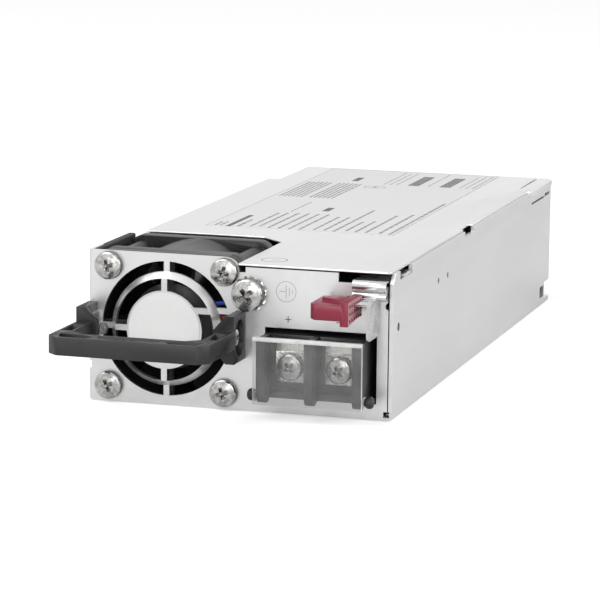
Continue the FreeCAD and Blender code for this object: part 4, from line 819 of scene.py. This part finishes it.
def spring_ribs():
    low, high = span("latch_spring")
    seam = Vector((31.7 * MM, low.y + 8.55 * MM, high.z - 2.95 * MM))
    rib = block("rib", seam + Vector((0, -0.02, -0.36)) * MM, seam + Vector((0.26, 0.6, 0.36)) * MM)
    row = rib.modifiers.new("row", "ARRAY")
    row.count = RIB_COUNT
    row.use_relative_offset = False
    row.use_constant_offset = True
    row.constant_offset_displace = (RIB_PITCH * MM, 0, 0)
    soften(rib, 0.05)
    rib.name = "latch_spring_ribs"
    wear(rib, "spring_steel")
    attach(rib, body_of("latch_spring"))


grip_dots()
spring_ribs()


# %% [markdown]
# ## Printed marks
# Ink is drawn as thin slabs just above the surface that carries it: rings, bars and blocks, never letters.
# A ring is a circle whose face is inset and emptied. Everything of one tone on one surface is one piece.

# %% Marks
INK = 0.02 * MM


def upright_bar(x0, x1, z0, z1):
    """A printed bar on the front plate, in millimetres across and up."""
    return block("bar", (x0 * MM, PLATE_FRONT - INK, z0 * MM), (x1 * MM, PLATE_FRONT + INK, z1 * MM))


def flat_bar(x0, x1, y0, y1, level):
    """A printed bar on a level surface, in millimetres."""
    return block("bar", (x0 * MM, y0 * MM, level), (x1 * MM, y1 * MM, level + INK))


def ring_mark(place, radius, width, tilt):
    """A printed ring in metres, with its axis tipped to the surface's."""
    bpy.ops.object.select_all(action="DESELECT")
    bpy.ops.mesh.primitive_circle_add(vertices=64, radius=radius, fill_type="NGON")
    ring = bpy.context.active_object
    edit(ring)
    bpy.ops.mesh.select_mode(type="FACE")
    bpy.ops.mesh.select_all(action="SELECT")
    bpy.ops.mesh.inset(thickness=width)
    bpy.ops.mesh.delete(type="FACE")
    bpy.ops.mesh.select_all(action="SELECT")
    bpy.ops.mesh.extrude_region_move(TRANSFORM_OT_translate={"value": (0, 0, INK)})
    bpy.ops.mesh.select_all(action="SELECT")
    bpy.ops.mesh.normals_make_consistent(inside=False)
    leave()
    return seat(ring, place, tilt)


def printed(name, pieces, finish_name, node):
    """Joins the marks of one tone and lets them ride with the piece that carries them."""
    mark = joined(name, pieces)
    wear(mark, finish_name)
    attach(mark, body_of(node))
    return mark


def plate_marks():
    ground = middle("ground_screw")
    x, z = ground.x / MM + 9.9, ground.z / MM + 1.2
    line = 0.16
    ring_radius = 2.75
    marks = [ring_mark((x * MM, PLATE_FRONT, z * MM), ring_radius * MM, line * MM, TOWARD_VIEWER),
             upright_bar(x - 1.9, x, z - line / 2, z + line / 2)]
    for step, half in ((0.0, 1.75), (0.85, 1.15), (1.7, 0.6)):
        marks.append(upright_bar(x + step - line / 2, x + step + line / 2, z - half, z + half))
    printed("earth_mark", marks, "faint_grey", "base_chassis")
    plus_x, minus_x, sign_z = 13.45, 27.3, 24.95
    arm, half = 0.85, 0.12
    marks = [upright_bar(plus_x - arm, plus_x + arm, sign_z - half, sign_z + half),
             upright_bar(plus_x - half, plus_x + half, sign_z - arm, sign_z + arm),
             upright_bar(minus_x - arm, minus_x + arm, sign_z - half, sign_z + half)]
    printed("sign_marks", marks, "mark_grey", "base_chassis")


def lid_marks():
    place = Vector((7.0 * MM, 8.5 * MM, lid_top))
    marks = [ring_mark(place, 3.5 * MM, 0.28 * MM, (0, "X")),
             flat_bar(6.2, 8.4, 8.3, 8.6, lid_top)]
    printed("lid_press_mark", marks, "ink_grey", "top_cover")


plate_marks()
lid_marks()


# %% [markdown]
# ## The lid's label
# The label carries rows that run along the case, blocks of small print and a thin outline. Rows are
# broken into dashes of uneven length, so that they read as print without holding any writing. Each row
# is given by where it lies across the label, where it starts and ends, and how tall it is, all in
# millimetres. Each row's lengths come from its own seed.

# %% Label print
def dashes(x, start, end, tall, level, seed, gap=0.6):
    """One row of print along Y, broken into dashes."""
    shuffle = random.Random(seed)
    at = start
    row = []
    while at < end:
        run = min(shuffle.uniform(0.9, 3.4), end - at)
        row.append(flat_bar(x - tall / 2, x + tall / 2, at, at + run, level))
        at += run + gap
    return row


ROWS = [(-26.5, 60, 67, 0.7), (-25, 60, 67, 0.7), (-19.8, 60, 73, 0.9), (-16.5, 61, 88, 0.8),
        (-14, 62, 89, 0.8), (-11, 60, 90, 0.8), (-8, 60, 90, 0.8), (-5, 60, 90, 0.8), (-2, 60, 90, 0.8),
        (2, 61, 87, 0.8), (5, 61, 87, 0.8), (8, 60, 103, 0.8), (11, 62, 80, 0.8), (14, 61, 82, 0.8),
        (17, 61, 95, 0.8), (21, 61, 98, 0.8), (24, 60, 123, 0.8)]
FAINT_ROWS = [(-14, 92, 113, 0.4), (-4, 157, 185, 0.35), (-2, 157, 183, 0.35), (0, 157, 184, 0.35),
              (10, 157, 185, 0.35), (20, 157, 182, 0.35), (22, 157, 184, 0.35), (24, 157, 185, 0.35)]


SMALL_PRINT = ((-27.5, -19.5), (-18, -10))
GREY_BLOCKS = ((3.5, 7), (13.5, 17))
LINE = 0.14


def filled(blocks, count, start, end, tall, level, seed, gap):
    """Blocks across the label, each filled with rows of dashes."""
    rows = []
    for low, high in blocks:
        for row in range(count):
            x = low + (high - low) * (row + 0.5) / count
            rows += dashes(x, start, end, tall, level, seed + row + int(low), gap)
    return rows


def label_print():
    level = label_high.z
    dark = [flat_bar(-23.2, -21.8, 59, 81, level), flat_bar(-6, -4, 96, 103, level),
            flat_bar(-15.5, -13.5, 161, 169, level)]
    grey = []
    for number, (x, start, end, tall) in enumerate(ROWS):
        grey += dashes(x, start, end, tall, level, number)
    for number, (x, start, end, tall) in enumerate(FAINT_ROWS):
        grey += dashes(x, start, end, tall, level, 40 + number)
    grey += filled(SMALL_PRINT, 6, 122, 155, 0.6, level, 70, 0.5)
    dark += filled(GREY_BLOCKS, 4, 157, 178, 0.7, level, 90, 0.2)
    for x in (-6.4, -3.6):
        grey.append(ring_mark(Vector((x * MM, 150 * MM, level)), 2.0 * MM, 0.3 * MM, (0, "X")))
    printed("label_print_dark", dark, "ink_dark", "cover_label")
    printed("label_print_grey", grey, "ink_grey", "cover_label")
    left, right = label_low.x / MM, label_high.x / MM
    near_end, far_end = label_low.y / MM, label_high.y / MM
    border = [flat_bar(left, left + LINE, near_end, far_end, level),
              flat_bar(right - LINE, right, near_end, far_end, level),
              flat_bar(left, right, near_end, near_end + LINE, level),
              flat_bar(left, right, far_end - LINE, far_end, level)]
    printed("label_outline", border, "ink_grey", "cover_label")
    print("label marks:", len(dark) + len(grey) + len(border))


label_print()


# %% [markdown]
# ## Floor, backdrop and light
# The photograph is a cut-out on pure white with even, soft light. The floor is pale and matt. For rays
# from the camera, and for those that pass through clear plastic, it glows a little, so that it reads as
# white while the contact shadow stays. Metal only looks right if it has something white to mirror, so
# glossy rays see the white world too, but only a faint glow of the floor, or the plate would clip.


# %% Stage
def rays_that_show(tree):
    """1 for the rays that show the background: camera, glossy and transmission ones."""
    path = tree.nodes.new("ShaderNodeLightPath")
    seen = path.outputs["Is Camera Ray"]
    for kind in ("Is Glossy Ray", "Is Transmission Ray"):
        either = tree.nodes.new("ShaderNodeMath")
        either.operation = "MAXIMUM"
        tree.links.new(seen, either.inputs[0])
        tree.links.new(path.outputs[kind], either.inputs[1])
        seen = either.outputs[0]
    return seen


def glow_for_viewer(tree, base, strength, mirrored):
    """Adds a white glow that only those rays see, fainter in mirrors."""
    glossy = tree.nodes.new("ShaderNodeLightPath").outputs["Is Glossy Ray"]
    level = tree.nodes.new("ShaderNodeMapRange")
    level.inputs["To Min"].default_value = strength
    level.inputs["To Max"].default_value = mirrored
    tree.links.new(glossy, level.inputs["Value"])
    power = tree.nodes.new("ShaderNodeMath")
    power.operation = "MULTIPLY"
    tree.links.new(rays_that_show(tree), power.inputs[0])
    tree.links.new(level.outputs[0], power.inputs[1])
    emission = tree.nodes.new("ShaderNodeEmission")
    tree.links.new(power.outputs[0], emission.inputs["Strength"])
    both = tree.nodes.new("ShaderNodeAddShader")
    tree.links.new(base, both.inputs[0])
    tree.links.new(emission.outputs[0], both.inputs[1])
    return both.outputs[0]


FLOOR_SIZE = 6.0
FLOOR_DROP = 0.2 * MM
FLOOR_GLOW, MIRRORED_GLOW = 0.45, 0.05
WORLD_LIGHT, WORLD_SEEN = 0.5, 1.0
bpy.ops.object.select_all(action="DESELECT")
bpy.ops.mesh.primitive_plane_add(size=FLOOR_SIZE, location=(0, 0, -FLOOR_DROP))
floor = bpy.context.active_object
floor.name = "floor"
floor_paint = bpy.data.materials.new("floor")
floor_paint.use_nodes = True
floor_tree = floor_paint.node_tree
floor_shader = floor_tree.nodes["Principled BSDF"]
floor_shader.inputs["Base Color"].default_value = (0.85, 0.85, 0.85, 1)
floor_shader.inputs["Roughness"].default_value = 0.9
floor_surface = glow_for_viewer(floor_tree, floor_shader.outputs[0], FLOOR_GLOW, MIRRORED_GLOW)
floor_tree.links.new(floor_surface, floor_tree.nodes["Material Output"].inputs["Surface"])
floor.data.materials.append(floor_paint)

world = bpy.data.worlds.new("world")
bpy.context.scene.world = world
world.use_nodes = True
world_tree = world.node_tree
background = world_tree.nodes["Background"]
background.inputs["Color"].default_value = (1, 1, 1, 1)
levels = world_tree.nodes.new("ShaderNodeMapRange")
levels.inputs["To Min"].default_value = WORLD_LIGHT
levels.inputs["To Max"].default_value = WORLD_SEEN
world_tree.links.new(rays_that_show(world_tree), levels.inputs["Value"])
world_tree.links.new(levels.outputs[0], background.inputs["Strength"])


LAMPS_AIM = Vector((0, 0.06, 0.02))


def lamp(name, place, size, power):
    data = bpy.data.lights.new(name, "AREA")
    data.shape = "RECTANGLE"
    data.size, data.size_y = size
    data.energy = power
    light = bpy.data.objects.new(name, data)
    light.location = place
    light.rotation_euler = (LAMPS_AIM - light.location).to_track_quat("-Z", "Y").to_euler()
    bpy.context.scene.collection.objects.link(light)


lamp("key", (-0.5, -0.5, 0.9), (0.8, 0.8), 5.5)
lamp("front", (0.3, -1.2, 0.4), (0.9, 0.6), 5.0)
lamp("side", (1.1, 0.1, 0.35), (0.9, 0.7), 4.0)

# %% View transform
bpy.context.scene.view_settings.view_transform = "Standard"
